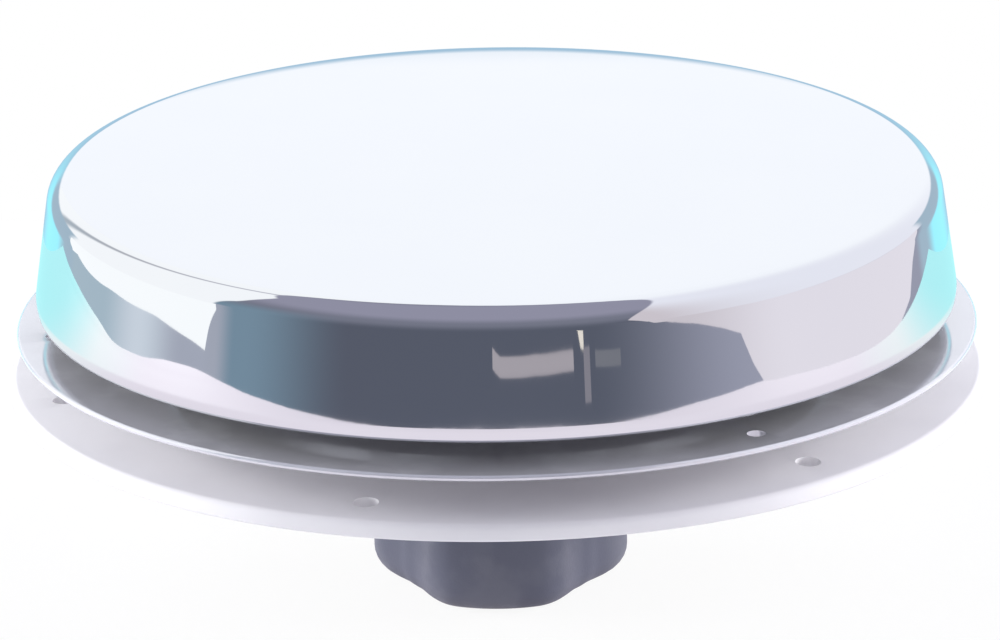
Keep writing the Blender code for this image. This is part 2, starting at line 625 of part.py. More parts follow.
def build():
    clear_scene()
    shop = Workshop()
    polished = make_material("polished_steel", (0.80, 0.81, 0.83), 1.0, 0.06)
    plain_steel = make_material("plain_steel", (0.62, 0.63, 0.65), 1.0, 0.35)
    brass = make_material("brass", (0.72, 0.56, 0.26), 1.0, 0.30)
    pale = make_material("pale_plastic", (0.80, 0.78, 0.80), 0.0, 0.45)
    rubber = make_material("black_rubber", (0.03, 0.03, 0.03), 0.0, 0.80)
    black = make_material("black_plastic", (0.035, 0.037, 0.045), 0.0, 0.40)

    deck_flange(shop, pale)
    throat_sleeve(shop, pale)
    water_tray(shop, polished)
    screw_set(shop, "tray_screw", TRAY_SCREWS, TRAY_TOP, TRAY_SCREW_LENGTH, False, plain_steel)
    spider(shop, plain_steel)
    insect_screen(shop, plain_steel)
    screen_ring(shop, plain_steel)
    screw_set(shop, "throat_screw", THROAT_SCREWS, SCREEN_RING_TOP, THROAT_SCREW_LENGTH, False, plain_steel)
    spindle_bush(shop, brass)
    guide_pins(shop, plain_steel)

    dome_cover(shop, polished)
    dome_boss(shop, plain_steel)
    valve_plate(shop, plain_steel)
    valve_seal(shop, rubber)
    nut_top = PLATE_BOTTOM - GAP
    hexagon(shop, "lift_nut", NUT_RADIUS, SPINDLE_RADIUS + GAP, nut_top - NUT_HEIGHT, nut_top, brass,
            shop.dome_carrier)
    screw_set(shop, "plate_screw", PLATE_SCREWS, PLATE_BOTTOM, PLATE_SCREW_LENGTH, True, plain_steel,
              shop.dome_carrier)

    hand_knob(shop, black)
    knob_insert(shop, brass)
    knob_pin(shop, plain_steel)
    spindle(shop, plain_steel)
    washers(shop, brass)
    spindle_clip(shop, plain_steel)


build()
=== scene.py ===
import math

import bmesh
import bpy
from mathutils import Matrix, Vector


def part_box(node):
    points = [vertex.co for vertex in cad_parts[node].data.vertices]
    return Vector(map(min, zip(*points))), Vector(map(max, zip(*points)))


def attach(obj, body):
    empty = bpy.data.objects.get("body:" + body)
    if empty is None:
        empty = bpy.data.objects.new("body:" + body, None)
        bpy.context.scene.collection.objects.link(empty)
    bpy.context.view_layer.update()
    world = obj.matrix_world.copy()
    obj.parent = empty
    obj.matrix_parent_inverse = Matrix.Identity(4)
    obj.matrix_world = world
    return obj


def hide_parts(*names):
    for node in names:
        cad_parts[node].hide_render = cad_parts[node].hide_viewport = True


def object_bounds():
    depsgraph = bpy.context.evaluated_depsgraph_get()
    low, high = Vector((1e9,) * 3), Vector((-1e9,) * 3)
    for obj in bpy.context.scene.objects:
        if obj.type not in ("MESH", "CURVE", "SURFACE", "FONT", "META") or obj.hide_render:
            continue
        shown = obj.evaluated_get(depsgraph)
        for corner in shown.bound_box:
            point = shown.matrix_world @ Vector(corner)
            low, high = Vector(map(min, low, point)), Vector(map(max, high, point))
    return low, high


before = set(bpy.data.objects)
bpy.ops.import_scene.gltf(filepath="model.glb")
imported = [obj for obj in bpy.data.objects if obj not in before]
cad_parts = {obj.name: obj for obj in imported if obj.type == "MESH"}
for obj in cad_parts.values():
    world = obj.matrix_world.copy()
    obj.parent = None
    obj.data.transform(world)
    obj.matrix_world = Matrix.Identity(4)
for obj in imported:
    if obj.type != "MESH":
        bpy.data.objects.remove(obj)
cad_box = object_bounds()


def metres(*points):
    return [tuple(value / 1000 for value in point) for point in points]


# Clearance all round, sheet and dome
FIT = 0.0003
SHEET = 0.0012
DOME_FLARE = math.radians(7.7)
CROWN_SLOPE = math.radians(2.37)
CROWN_STEPS = 24
SHOULDER_ROUND = 0.005
SHOULDER_DROP = 0.0068
WAIST_ROUND = 0.004
HEM_HEIGHT = 0.0026
HEM_THICKNESS = 0.0026
HEM_EASE = 0.0003
HEM_SLIT = 0.0002

# Tray, flange and sleeve
COLLAR_RADIUS = 0.066
COLLAR_BEND = 0.0025
TRAY_TOP = 0.0133
TRAY_PILOT = 0.006
DRAIN_RADIUS = 0.0019
DRAIN_CIRCLE = 0.0908
DRAIN_ANGLES = (-55.7, 64.3, 184.3)
FLANGE_FALL = math.radians(3.5)
FLANGE_RIM = 0.0036
FLANGE_ROUND = 0.0014
PEDESTAL_RADIUS = 0.075
REBATE_RADIUS = 0.0637
REBATE_DEPTH = 0.0015
SEALANT_GROOVE = (0.062, 0.071, 0.0025)
DECK_HOLE_RADIUS = 0.0026
DECK_HOLE_CIRCLE = 0.0905
DECK_HOLE_ANGLES = (-107, -47, 13, 73, 133, 193)
THROAT_RADIUS = 0.056
THROAT_PILOT = -0.0086
SLEEVE_RADIUS = 0.059
SLEEVE_COLLAR = 0.0012
LEDGE_RADIUS = 0.050
LEDGE_HEIGHT = -0.004
GRIP_HEIGHTS = (-0.0022, -0.0044, -0.0066)
GRIP_STEP = 0.0004

# Spider, screen and guide pins
SPIDER_RING = (-0.0037, -0.0002)
RING_BORE = 0.047
HUB_RADIUS = 0.010
ARM_WIDTH = 0.008
ARM_ANGLES = (90, 210, 330)
ARM_EASE = 0.0006
MESH_PITCH = 0.0024
WIRE_RADIUS = 0.00019
SCREEN_RIM = 0.0475
SCREEN_EYE = (0.012, 0.0142)
GROMMET = (0.0026, 0.0040)
PIN_SHANK = 0.0013
PIN_FOOT = 0.0001
PIN_RUN = 0.0028

# Screws
SCREW_SHANK = 0.00125
SCREW_HOLE = SCREW_SHANK + FIT
SCREW_HEAD = 0.0016
SCREW_POINT = 0.0008
RECESS_WIDTH = 0.00062
RECESS_DEPTH = 0.0018

# Boss, valve plate and seal
BOSS_BORE = 0.0046
BOSS_FOOT = 0.020
BOSS_NECK = 0.009
BOSS_RIM = 0.0022
PLATE_GROOVE = ((0.0450, 0), (0.0462, 0.0004), (0.0478, 0.0004), (0.0490, 0))
SEAL_WIDTH = 0.006

# Spindle, nut and knob
SPINDLE_RADIUS = 0.004
SPINDLE_BORE = SPINDLE_RADIUS + FIT
SPINDLE_STOP = (0.0026, 0.0046)
THREAD_ROOT = 0.0029
THREAD_LEAD = 0.003
THREAD_STEPS = 40
BUSH_RADIUS = 0.006
BUSH_FLANGE = 0.0013
CLIP_GROOVE = 0.0033
CLIP_MOUTH = 0.0047
NUT_CHAMFER = 0.0006
KNOB_RADIUS = 0.0265
KNOB_VALLEY = 0.0219
KNOB_LOBES = 3
KNOB_TURN = math.radians(28)
KNOB_LOBE_EDGE = math.radians(20)
KNOB_FLUTE_EDGE = math.radians(55)
KNOB_BODY_TOP = -0.0185
KNOB_ROUND = 0.0055
KNOB_NECK_RADIUS = 0.011
KNOB_POCKET = 0.040
KNOB_FOOT = ((0.0150, 0), (0.0140, 0.0003), (0.0132, 0.0010), (0.0060, 0.0012))
KNOB_POINTS = 48 * KNOB_LOBES

# Camera and studio
CAMERA_RISE = math.radians(18.106)
CAMERA_ROLL = math.radians(0.876)
CAMERA_AWAY = 2.119
CAMERA_SHIFT = (0.00066, -0.00658)
CAMERA_LENS = 371.65
LEFT_FACING = -115
RIGHT_FACING = 110
STUDIO_STRENGTH = 1.25

# Table top, and the low cards that stand at its edge, in millimetres: across, deep, height of the lower edge
TABLE_LEFT = metres((-300, 250), (-372, 195), (-430, 134), (-460, 86), (-502, 36), (-533, -3), (-576, -57),
                    (-604, -104), (-631, -162), (-647, -219), (-656, -296), (-657, -353), (-651, -477),
                    (-617, -630), (-563, -759), (-465, -905), (-270, -1075), (-100, -1135))
TABLE_RIGHT = metres((100, -1135), (270, -1075), (474, -894), (574, -747), (634, -595), (657, -432),
                     (652, -314), (624, -218), (588, -130), (542, -46), (499, 15), (458, 65), (426, 101),
                     (387, 144), (300, 235))
LEFT_CARD = metres((-333, 214, 8), (-375, 179, 8.2), (-418, 131, 10.3), (-457, 85, 11.8), (-526, -4, 12.1),
                   (-560, -60, 11.5), (-607, -152, 9.2), (-628, -207, 7.5))
LEFT_CORNER = metres((-628, -207, 7.5), (-632, -216, 13), (-637, -228, 16.2), (-642, -241, 18.2))
RIGHT_CARD = metres((560, -766, 66), (571, -746, 33), (588, -710, 25.8), (613, -641, 23.4), (636, -568, 21.2),
                    (649, -471, 18.1), (656, -395, 14.4))
RIGHT_CORNER = metres((656, -395, 14.4), (653, -353, 5.4), (650, -313, -1), (600, -130, -5), (520, 8, -5),
                      (445, 103, -5), (385, 173, -2), (363, 190, 4.5), (345, 203, 7.5))
WINDOW_PANE = metres((-22, -1090, 20.7), (-7, -1090, 19.3), (11, -1090, 18), (62, -1088, 17.8),
                     (163, -1078, 17.5), (284, -1052, 16.5), (333, -1038, 15.7))
WINDOW_GLINT = metres((350, -1032, 29.5), (360, -1029, 24), (365, -1027, 21.5), (378, -1023, 20.5))
WINDOW_POST = metres((376, -1023, 5), (402, -1013, 4.5))
FAR_PANE = metres((425, -1004, 14.1), (529, -953, 10.4))


def fresh_start():
    """Leave edit mode and let go of everything."""
    if bpy.context.mode != "OBJECT":
        bpy.ops.object.mode_set(mode="OBJECT")
    bpy.ops.object.select_all(action="DESELECT")


def pick(piece):
    fresh_start()
    piece.select_set(True)
    bpy.context.view_layer.objects.active = piece


def named(piece, name):
    piece.name = name
    piece.data.name = name
    return piece


def select_mesh():
    bpy.ops.mesh.select_all(action="SELECT")


def open_mesh():
    """Go to edit mode with everything selected."""
    bpy.ops.object.mode_set(mode="EDIT")
    select_mesh()


def close_mesh():
    """Point all faces outwards and leave edit mode."""
    select_mesh()
    bpy.ops.mesh.normals_make_consistent(inside=False)
    bpy.ops.object.mode_set(mode="OBJECT")


def reach(node):
    """Outer radius, lowest and highest point of a node that stands on the axis."""
    low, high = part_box(node)
    return high[0], low[2], high[2]


def middle_of(node):
    low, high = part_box(node)
    return ((low[0] + high[0]) / 2, (low[1] + high[1]) / 2)


def trio(label):
    """The three nodes that share a label."""
    return ["%s_%d" % (label, index + 1) for index in range(3)]


def places_of(label):
    return [middle_of(node) for node in trio(label)]


def around(radius, angles):
    return [(radius * math.cos(math.radians(a)), radius * math.sin(math.radians(a))) for a in angles]


def arc(centre, radius, start, end, count):
    points = []
    for index in range(count + 1):
        angle = math.radians(start + (end - start) * index / count)
        points.append((centre[0] + radius * math.cos(angle), centre[1] + radius * math.sin(angle)))
    return points


def softened(corners, count):
    """Round the corners of an outline; each corner is radius, height and rounding."""
    outline = []
    for index, (radius, height, rounding) in enumerate(corners):
        if not rounding:
            outline.append((radius, height))
            continue
        here = Vector((radius, height))
        before = (Vector(corners[index - 1][:2]) - here).normalized()
        after = (Vector(corners[(index + 1) % len(corners)][:2]) - here).normalized()
        half = before.angle(after) / 2
        centre = here + (before + after).normalized() * (rounding / math.sin(half))
        start = here + before * (rounding / math.tan(half)) - centre
        end = here + after * (rounding / math.tan(half)) - centre
        first = math.degrees(math.atan2(start.y, start.x))
        sweep = math.degrees(math.atan2(end.y, end.x)) - first
        sweep = (sweep + 180) % 360 - 180
        outline += arc(centre, rounding, first, first + sweep, count)
    return outline


def flowing(points, count=4):
    """Fill in a smooth line through points."""
    spots = [Vector(point) for point in points]
    line = []
    for index in range(len(spots) - 1):
        before, here = spots[max(index - 1, 0)], spots[index]
        there, after = spots[index + 1], spots[min(index + 2, len(spots) - 1)]
        for step in range(count):
            share = step / count
            pull = (2 * before - 5 * here + 4 * there - after) * share + (there - before)
            pull += (3 * here - before - 3 * there + after) * share ** 2
            line.append(here + pull * share / 2)
    return line + [spots[-1]]


def band(inner, outer, low, top, inside, outside):
    """Corners of a plain ring, with the rounding of its inside and outside edges."""
    return [(inner, top, inside), (outer, top, outside), (outer, low, outside), (inner, low, inside)]


def drawn(name, points):
    """Draw a line through points by extruding it from the first one; leaves it in edit mode."""
    fresh_start()
    bpy.ops.mesh.primitive_plane_add(size=0.001)
    piece = named(bpy.context.active_object, name)
    bpy.ops.object.mode_set(mode="EDIT")
    bpy.ops.mesh.select_mode(type="VERT")
    select_mesh()
    bpy.ops.mesh.merge(type="CENTER")
    bpy.ops.transform.translate(value=points[0])
    for here, there in zip(points, points[1:]):
        step = tuple(Vector(there) - Vector(here))
        bpy.ops.mesh.extrude_vertices_move(TRANSFORM_OT_translate={"value": step})
    select_mesh()
    return piece


def turned(name, outline, steps, closed=True):
    """Draw an outline and spin it about the axis."""
    path = outline + outline[:1] if closed else outline
    piece = drawn(name, [(radius, 0, height) for radius, height in path])
    bpy.ops.mesh.spin(steps=steps, angle=2 * math.pi, center=(0, 0, 0), axis=(0, 0, 1))
    select_mesh()
    bpy.ops.mesh.remove_doubles(threshold=0.000002)
    close_mesh()
    return piece


def lathed(name, corners, count, steps, closed=True):
    """Turn an outline that is given by its corners and their rounding."""
    return turned(name, softened(corners, count), steps, closed)


def carve(piece, tool, operation="DIFFERENCE"):
    pick(piece)
    cut = piece.modifiers.new("cut", "BOOLEAN")
    cut.object = tool
    cut.operation = operation
    bpy.ops.object.modifier_apply(modifier=cut.name)
    bpy.data.objects.remove(tool)


def joined(pieces):
    fresh_start()
    for piece in pieces:
        piece.select_set(True)
    bpy.context.view_layer.objects.active = pieces[0]
    bpy.ops.object.join()
    return pieces[0]


def rod(place, radius, low, high, sides=24):
    fresh_start()
    bpy.ops.mesh.primitive_cylinder_add(vertices=sides, radius=radius, depth=high - low,
                                        location=(place[0], place[1], (low + high) / 2))
    return bpy.context.active_object


def block(size, place, turn=0.0):
    fresh_start()
    bpy.ops.mesh.primitive_cube_add(size=1, location=place, rotation=(0, 0, turn), scale=size)
    bpy.ops.object.transform_apply(location=True, rotation=True, scale=True)
    return bpy.context.active_object


def drill(piece, places, radius, low, high, sides=24):
    carve(piece, joined([rod(place, radius, low, high, sides) for place in places]))


def ease_edges(piece, width, angle=40, count=2):
    pick(piece)
    edge = piece.modifiers.new("edge", "BEVEL")
    edge.width = width
    edge.segments = count
    edge.limit_method = "ANGLE"
    edge.angle_limit = math.radians(angle)
    edge.harden_normals = False
    bpy.ops.object.modifier_apply(modifier=edge.name)


def copy_to(piece, name, shift):
    pick(piece)
    bpy.ops.object.duplicate()
    twin = named(bpy.context.active_object, name)
    bpy.ops.transform.translate(value=(*shift, 0))
    bpy.ops.object.transform_apply(location=True, rotation=False, scale=False)
    return twin


def dress(piece, look, body, *nodes, sharp=32):
    """Finish a piece that rides on a body and stands for nodes; a look is a finish and its slot, and the slot
    is not used.
    """
    finish, slot = look
    pick(piece)
    bpy.ops.object.transform_apply(location=True, rotation=True, scale=True)
    bpy.ops.object.shade_smooth_by_angle(angle=math.radians(sharp))
    piece.data.materials.clear()
    piece.data.materials.append(finish)
    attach(piece, body)
    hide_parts(*nodes)


def set_out(piece, nodes, ending, body):
    """Dress a steel piece made on the axis for the first node, and copies of it for the others."""
    places = [middle_of(node) for node in nodes]
    twins = [copy_to(piece, node + ending, place) for node, place in zip(nodes[1:], places[1:])]
    pick(piece)
    bpy.ops.transform.translate(value=(*places[0], 0))
    for node, made in zip(nodes, [piece] + twins):
        dress(made, SATIN, body, node)


class NodeDesk:
    """Lays out the nodes of one material or of the studio."""
    in_row, wide, tall = 8, 220, 180

    def __init__(self, tree):
        self.tree = tree
        self.count = 0

    def give(self, made, inputs):
        """Link sockets to the inputs of a node, and set plain values on them."""
        for key, value in inputs.items():
            if isinstance(value, bpy.types.NodeSocket):
                self.tree.links.new(value, made.inputs[key])
            else:
                made.inputs[key].default_value = value

    def node(self, kind, inputs=None, **settings):
        made = self.tree.nodes.new(kind)
        made.location = (self.wide * (self.count % self.in_row), -self.tall * (self.count // self.in_row))
        self.count += 1
        for key, value in settings.items():
            setattr(made, key, value)
        self.give(made, inputs or {})
        return made

    def sum(self, operation, first, second=0.0):
        return self.node("ShaderNodeMath", {0: first, 1: second}, operation=operation).outputs[0]

    def times(self, product, *shares):
        for share in shares:
            product = self.sum("MULTIPLY", product, share)
        return product

    def ease(self, value, start, end, low=0.0, high=1.0):
        """Slide smoothly from low to high while the value goes from start to end."""
        if start > end:
            start, end, low, high = end, start, high, low
        inputs = {"Value": value, "From Min": start, "From Max": end, "To Min": low, "To Max": high}
        return self.node("ShaderNodeMapRange", inputs, interpolation_type="SMOOTHSTEP").outputs["Result"]

    def blend(self, share, first, second):
        inputs = {0: share, 6: first, 7: second}
        return self.node("ShaderNodeMix", inputs, data_type="RGBA").outputs[2]

    def along(self, vector, direction):
        made = self.node("ShaderNodeVectorMath", {0: vector, 1: direction}, operation="DOT_PRODUCT")
        return made.outputs["Value"]

    def speckle(self, place, scale, detail=2.0, roughness=0.5):
        inputs = {"Vector": place, "Scale": scale, "Detail": detail, "Roughness": roughness}
        return self.node("ShaderNodeTexNoise", inputs).outputs["Fac"]

    def relief(self, height, strength, distance=0.0001):
        inputs = {"Height": height, "Strength": strength, "Distance": distance}
        return self.node("ShaderNodeBump", inputs).outputs["Normal"]


def start_finish(name):
    """A new material with its desk, its place on the piece and its surface shader."""
    finish = bpy.data.materials.new(name)
    finish.use_nodes = True
    desk = NodeDesk(finish.node_tree)
    place = desk.node("ShaderNodeTexCoord").outputs["Object"]
    return finish, desk, place, finish.node_tree.nodes["Principled BSDF"]


def bare_finish(name):
    """A new material with nothing in it yet."""
    finish = bpy.data.materials.new(name)
    finish.use_nodes = True
    finish.node_tree.nodes.clear()
    return finish, NodeDesk(finish.node_tree)


def from_axis(desk, place):
    """Distance from the part's own axis."""
    flat = desk.node("ShaderNodeVectorMath", {0: place, 1: (1, 1, 0)}, operation="MULTIPLY")
    return desk.node("ShaderNodeVectorMath", {0: flat.outputs[0]}, operation="LENGTH").outputs["Value"]


def ring_marks(desk, place, fineness):
    """Marks that run round the axis, as a lathe or a polishing wheel leaves them."""
    radius = from_axis(desk, place)
    height = desk.node("ShaderNodeSeparateXYZ", {0: place}).outputs["Z"]
    spot = desk.node("ShaderNodeCombineXYZ", {"X": desk.times(radius, fineness),
                                              "Y": desk.times(height, fineness)})
    return desk.speckle(spot.outputs[0], 1.0, 3.0, 0.6)


def mirror_steel():
    """Sheet that is mirror polished outside, with a faint uneven haze, and left dull inside."""
    finish, desk, place, shader = start_finish("mirror_steel")
    rings = ring_marks(desk, place, 900)
    haze = desk.speckle(place, 35, 3.0)
    outward = desk.node("ShaderNodeVectorMath", {0: place, 1: (0, 0, 0.012)}, operation="SUBTRACT").outputs[0]
    facing = desk.node("ShaderNodeNewGeometry").outputs["Normal"]
    inside = desk.ease(desk.along(outward, facing), 0.0, -0.002)
    rough = desk.sum("ADD", desk.ease(haze, 0.35, 0.75, 0.008, 0.016), desk.times(rings, 0.006))
    rough = desk.sum("ADD", rough, desk.times(inside, 0.42))
    tint = desk.blend(haze, (0.79, 0.80, 0.825, 1), (0.815, 0.82, 0.83, 1))
    tint = desk.blend(inside, tint, (0.62, 0.60, 0.64, 1))
    metal = desk.ease(inside, 0.0, 1.0, 1.0, 0.45)
    desk.give(shader, {"Base Color": tint, "Roughness": rough, "Metallic": metal})
    return finish


def tray_steel():
    """Polished sheet that water has dulled: faint rings round the axis and a thin film of lime."""
    finish, desk, place, shader = start_finish("tray_steel")
    rings = ring_marks(desk, place, 2600)
    lime = desk.ease(desk.speckle(place, 60, 4.0), 0.40, 0.75)
    tint = desk.blend(lime, (0.76, 0.76, 0.80, 1), (0.71, 0.71, 0.75, 1))
    rough = desk.sum("ADD", desk.times(rings, 0.04), desk.ease(lime, 0.0, 1.0, 0.07, 0.14))
    metal = desk.ease(lime, 0.0, 1.0, 0.52, 0.40)
    desk.give(shader, {"Base Color": tint, "Roughness": rough, "Metallic": metal})
    return finish


def plain_finish(name, metal, fineness, blotch, spread, tints, rough, depth):
    """Metal with turning marks, or moulded stuff with fine grain, and stain in blotches on either.

    The three rough values are for the marks or grain, for clean and for stained places.
    """
    finish, desk, place, shader = start_finish(name)
    marks = ring_marks(desk, place, fineness) if metal else desk.speckle(place, fineness)
    stain = desk.speckle(place, *blotch)
    tint = desk.blend(desk.ease(stain, *spread), *tints)
    marked, clean, stained = rough
    rough = desk.sum("ADD", desk.times(marks, marked), desk.ease(stain, 0.3, 0.7, clean, stained))
    relief = desk.relief(marks, depth)
    desk.give(shader, {"Base Color": tint, "Roughness": rough, "Metallic": metal, "Normal": relief})
    return finish


def black_moulding():
    """Black moulded grip: eroded grain, smoother and a little paler where hands rub it."""
    finish, desk, place, shader = start_finish("black_moulding")
    grain = desk.speckle(place, 1900, 3.0, 0.6)
    rub = desk.ease(from_axis(desk, place), 0.0215, 0.0250)
    patch = desk.times(rub, desk.ease(desk.speckle(place, 90, 3.0), 0.35, 0.65))
    tint = desk.blend(patch, (0.094, 0.100, 0.138, 1), (0.122, 0.127, 0.164, 1))
    rough = desk.sum("ADD", desk.ease(patch, 0.0, 1.0, 0.44, 0.34), desk.times(grain, 0.14))
    marks = desk.relief(grain, 0.35, 0.00015)
    desk.give(shader, {"Base Color": tint, "Roughness": rough, "Normal": marks})
    return finish


MIRROR = (mirror_steel(), "polished_steel")
TRAY = (tray_steel(), "polished_steel")
SATIN = (plain_finish("satin_steel", 1.0, 4200, (110, 4.0), (0.40, 0.70),
                      ((0.64, 0.65, 0.67, 1), (0.55, 0.555, 0.57, 1)),
                      (0.16, 0.20, 0.30), 0.10), "plain_steel")
BRASS = (plain_finish("turned_brass", 1.0, 5200, (240, 4.0), (0.42, 0.72),
                      ((0.74, 0.57, 0.27, 1), (0.52, 0.36, 0.15, 1)),
                      (0.15, 0.18, 0.34), 0.12), "brass")
PALE = (plain_finish("pale_moulding", 0.0, 2600, (28, 3.0), (0.35, 0.70),
                     ((0.80, 0.785, 0.80, 1), (0.75, 0.735, 0.755, 1)),
                     (0.10, 0.40, 0.50), 0.12), "pale_plastic")
BLACK = (black_moulding(), "black_plastic")
RUBBER = (plain_finish("black_rubber", 0.0, 2400, (160, 4.0), (0.42, 0.75),
                       ((0.022, 0.022, 0.023, 1), (0.055, 0.054, 0.052, 1)),
                       (0.0, 0.70, 0.85), 0.25), "black_rubber")


def make_dome_cover():
    """Spun shell: crowned top, round shoulder, flared wall and a hem rolled to the inside."""
    radius, lip, top = reach("dome_cover")
    flare = math.degrees(DOME_FLARE)
    hem_top = lip + HEM_HEIGHT
    shoulder_height = top - SHOULDER_DROP
    wall = radius - (shoulder_height - hem_top) * math.tan(DOME_FLARE)
    shoulder = (wall - SHOULDER_ROUND / math.cos(DOME_FLARE), shoulder_height)
    steep = 90 - math.degrees(CROWN_SLOPE)
    outer_round = arc(shoulder, SHOULDER_ROUND, steep, flare, 16)
    edge_radius, edge_height = outer_round[0]
    crown = []
    for step in range(CROWN_STEPS):
        here = edge_radius * step / CROWN_STEPS
        fall = (edge_radius ** 2 - here ** 2) * math.tan(CROWN_SLOPE) / (2 * edge_radius)
        crown.append((here, edge_height + fall))
    bend = (radius - WAIST_ROUND, hem_top - WAIST_ROUND * math.tan(DOME_FLARE / 2))
    waist = arc(bend, WAIST_ROUND, flare, 0, 4)
    start, end = Vector(outer_round[-1]), Vector(waist[0])
    side = [tuple(start.lerp(end, share)) for share in (0.02, 0.10, 0.30, 0.50, 0.70, 0.90, 0.98)]
    hem_radius = HEM_THICKNESS / 2
    hem = arc((radius - hem_radius, lip + hem_radius), hem_radius, 0, -180, 12)
    fold, sheet_inside = radius - HEM_THICKNESS, radius - SHEET - HEM_SLIT
    inner = [(fold, hem_top - SHEET / 2), (fold + HEM_EASE, hem_top)]
    inner += [(sheet_inside, hem_top + SHEET / 3), (sheet_inside, hem_top + SHEET)]
    inner += arc(shoulder, SHOULDER_ROUND - SHEET, flare, steep, 8)
    inner += [(here, height - SHEET) for here, height in reversed(crown)]
    shell = turned("dome_shell", crown + outer_round + side + waist + hem + inner, 160, closed=False)
    dress(shell, MIRROR, "dome", "dome_cover", sharp=40)


def make_water_tray():
    """Flat disc with a rounded edge; its middle turns up into the throat collar."""
    radius, low, top = reach("water_tray")
    half = SHEET / 2
    bend = (COLLAR_RADIUS + COLLAR_BEND, TRAY_TOP + COLLAR_BEND)
    outline = arc((COLLAR_RADIUS - half, top - half), half, 180, 0, 8)
    outline += arc(bend, COLLAR_BEND, 180, 270, 8)
    outline += arc((radius - half, TRAY_TOP - half), half, 90, -90, 10)
    outline += arc(bend, COLLAR_BEND + SHEET, 270, 180, 8)
    tray = turned("drain_tray", outline, 160)
    drill(tray, around(DRAIN_CIRCLE, DRAIN_ANGLES), DRAIN_RADIUS, low - SHEET, TRAY_TOP + SHEET, 32)
    drill(tray, places_of("tray_screw"), SCREW_HOLE, low - SHEET, TRAY_TOP + SHEET)
    dress(tray, TRAY, "base", "water_tray", sharp=40)


def make_deck_flange():
    """Moulded flange: rounded rim, falling top, pedestal, rebated bore and sealant groove."""
    radius, low, top = reach("deck_flange")
    slope_top = FLANGE_RIM + (radius - FLANGE_ROUND - PEDESTAL_RADIUS) * math.tan(FLANGE_FALL)
    bore = SLEEVE_RADIUS + FIT
    inner, outer, deep = SEALANT_GROOVE
    corners = [(REBATE_RADIUS, top, 0.0003), (PEDESTAL_RADIUS, top, 0.0008)]
    corners += [(PEDESTAL_RADIUS, slope_top, 0.0012), (radius, FLANGE_RIM, FLANGE_ROUND)]
    corners += [(radius, low, 0.0006), (outer, low, 0.0003), (outer, low + deep, 0.0004)]
    corners += [(inner, low + deep, 0.0004), (inner, low, 0.0003), (bore, low, 0.0003)]
    corners += [(bore, top - REBATE_DEPTH, 0), (REBATE_RADIUS, top - REBATE_DEPTH, 0)]
    flange = lathed("deck_ring", corners, 6, 160)
    drill(flange, around(DECK_HOLE_CIRCLE, DECK_HOLE_ANGLES), DECK_HOLE_RADIUS, low - SHEET, top, 40)
    drill(flange, places_of("tray_screw"), SCREW_HOLE, TRAY_PILOT, top + SHEET)
    dress(flange, PALE, "base", "deck_flange", sharp=40)


def make_throat_sleeve():
    """Duct sleeve with a collar, an inner ledge and shallow grip rings on the outside."""
    collar, low, top = reach("throat_sleeve")
    corners = [(THROAT_RADIUS, top, 0.0004), (collar, top, 0.0003), (collar, top - SLEEVE_COLLAR, 0.0002)]
    corners += [(SLEEVE_RADIUS, top - SLEEVE_COLLAR, 0.0002)]
    groove = SLEEVE_RADIUS - GRIP_STEP
    for height in GRIP_HEIGHTS:
        corners += [(SLEEVE_RADIUS, height, 0.0002), (groove, height - GRIP_STEP, 0.0001)]
        corners += [(groove, height - 2 * GRIP_STEP, 0.0001), (SLEEVE_RADIUS, height - 3 * GRIP_STEP, 0.0002)]
    corners += [(SLEEVE_RADIUS, low, 0.0006), (LEDGE_RADIUS, low, 0.0005)]
    corners += [(LEDGE_RADIUS, LEDGE_HEIGHT, 0.0003), (THROAT_RADIUS, LEDGE_HEIGHT, 0.0004)]
    sleeve = lathed("duct_sleeve", corners, 3, 128)
    drill(sleeve, places_of("throat_screw"), SCREW_HOLE, THROAT_PILOT, 0.0)
    dress(sleeve, PALE, "base", "throat_sleeve")


def make_screws(label, body, upward):
    """Pan-head screws with a cross recess; one is shaped, the others are copies."""
    nodes = trio(label)
    low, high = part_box(nodes[0])
    head = (high[0] - low[0]) / 2
    sign = -1 if upward else 1
    crest, tip = (low[2], high[2]) if upward else (high[2], low[2])
    under = crest - sign * SCREW_HEAD
    corners = [(0, crest, 0), (head * 0.45, crest - sign * 0.00003, 0.0006)]
    corners += [(head * 0.86, crest - sign * 0.00035, 0.0006)]
    corners += [(head, crest - sign * SCREW_HEAD * 0.62, 0.0003), (head, under, 0.00015)]
    corners += [(SCREW_SHANK, under, 0.0001), (SCREW_SHANK, tip + sign * SCREW_POINT, 0), (0, tip, 0)]
    screw = lathed(nodes[0] + "_pan_head", corners, 3, 32, closed=False)
    span = head * 1.15
    recess = block((span, RECESS_WIDTH, RECESS_DEPTH), (0, 0, crest))
    carve(recess, block((RECESS_WIDTH, span, RECESS_DEPTH), (0, 0, crest)), "UNION")
    carve(screw, recess)
    ease_edges(screw, 0.00005, 50, 1)
    set_out(screw, nodes, "_pan_head", body)


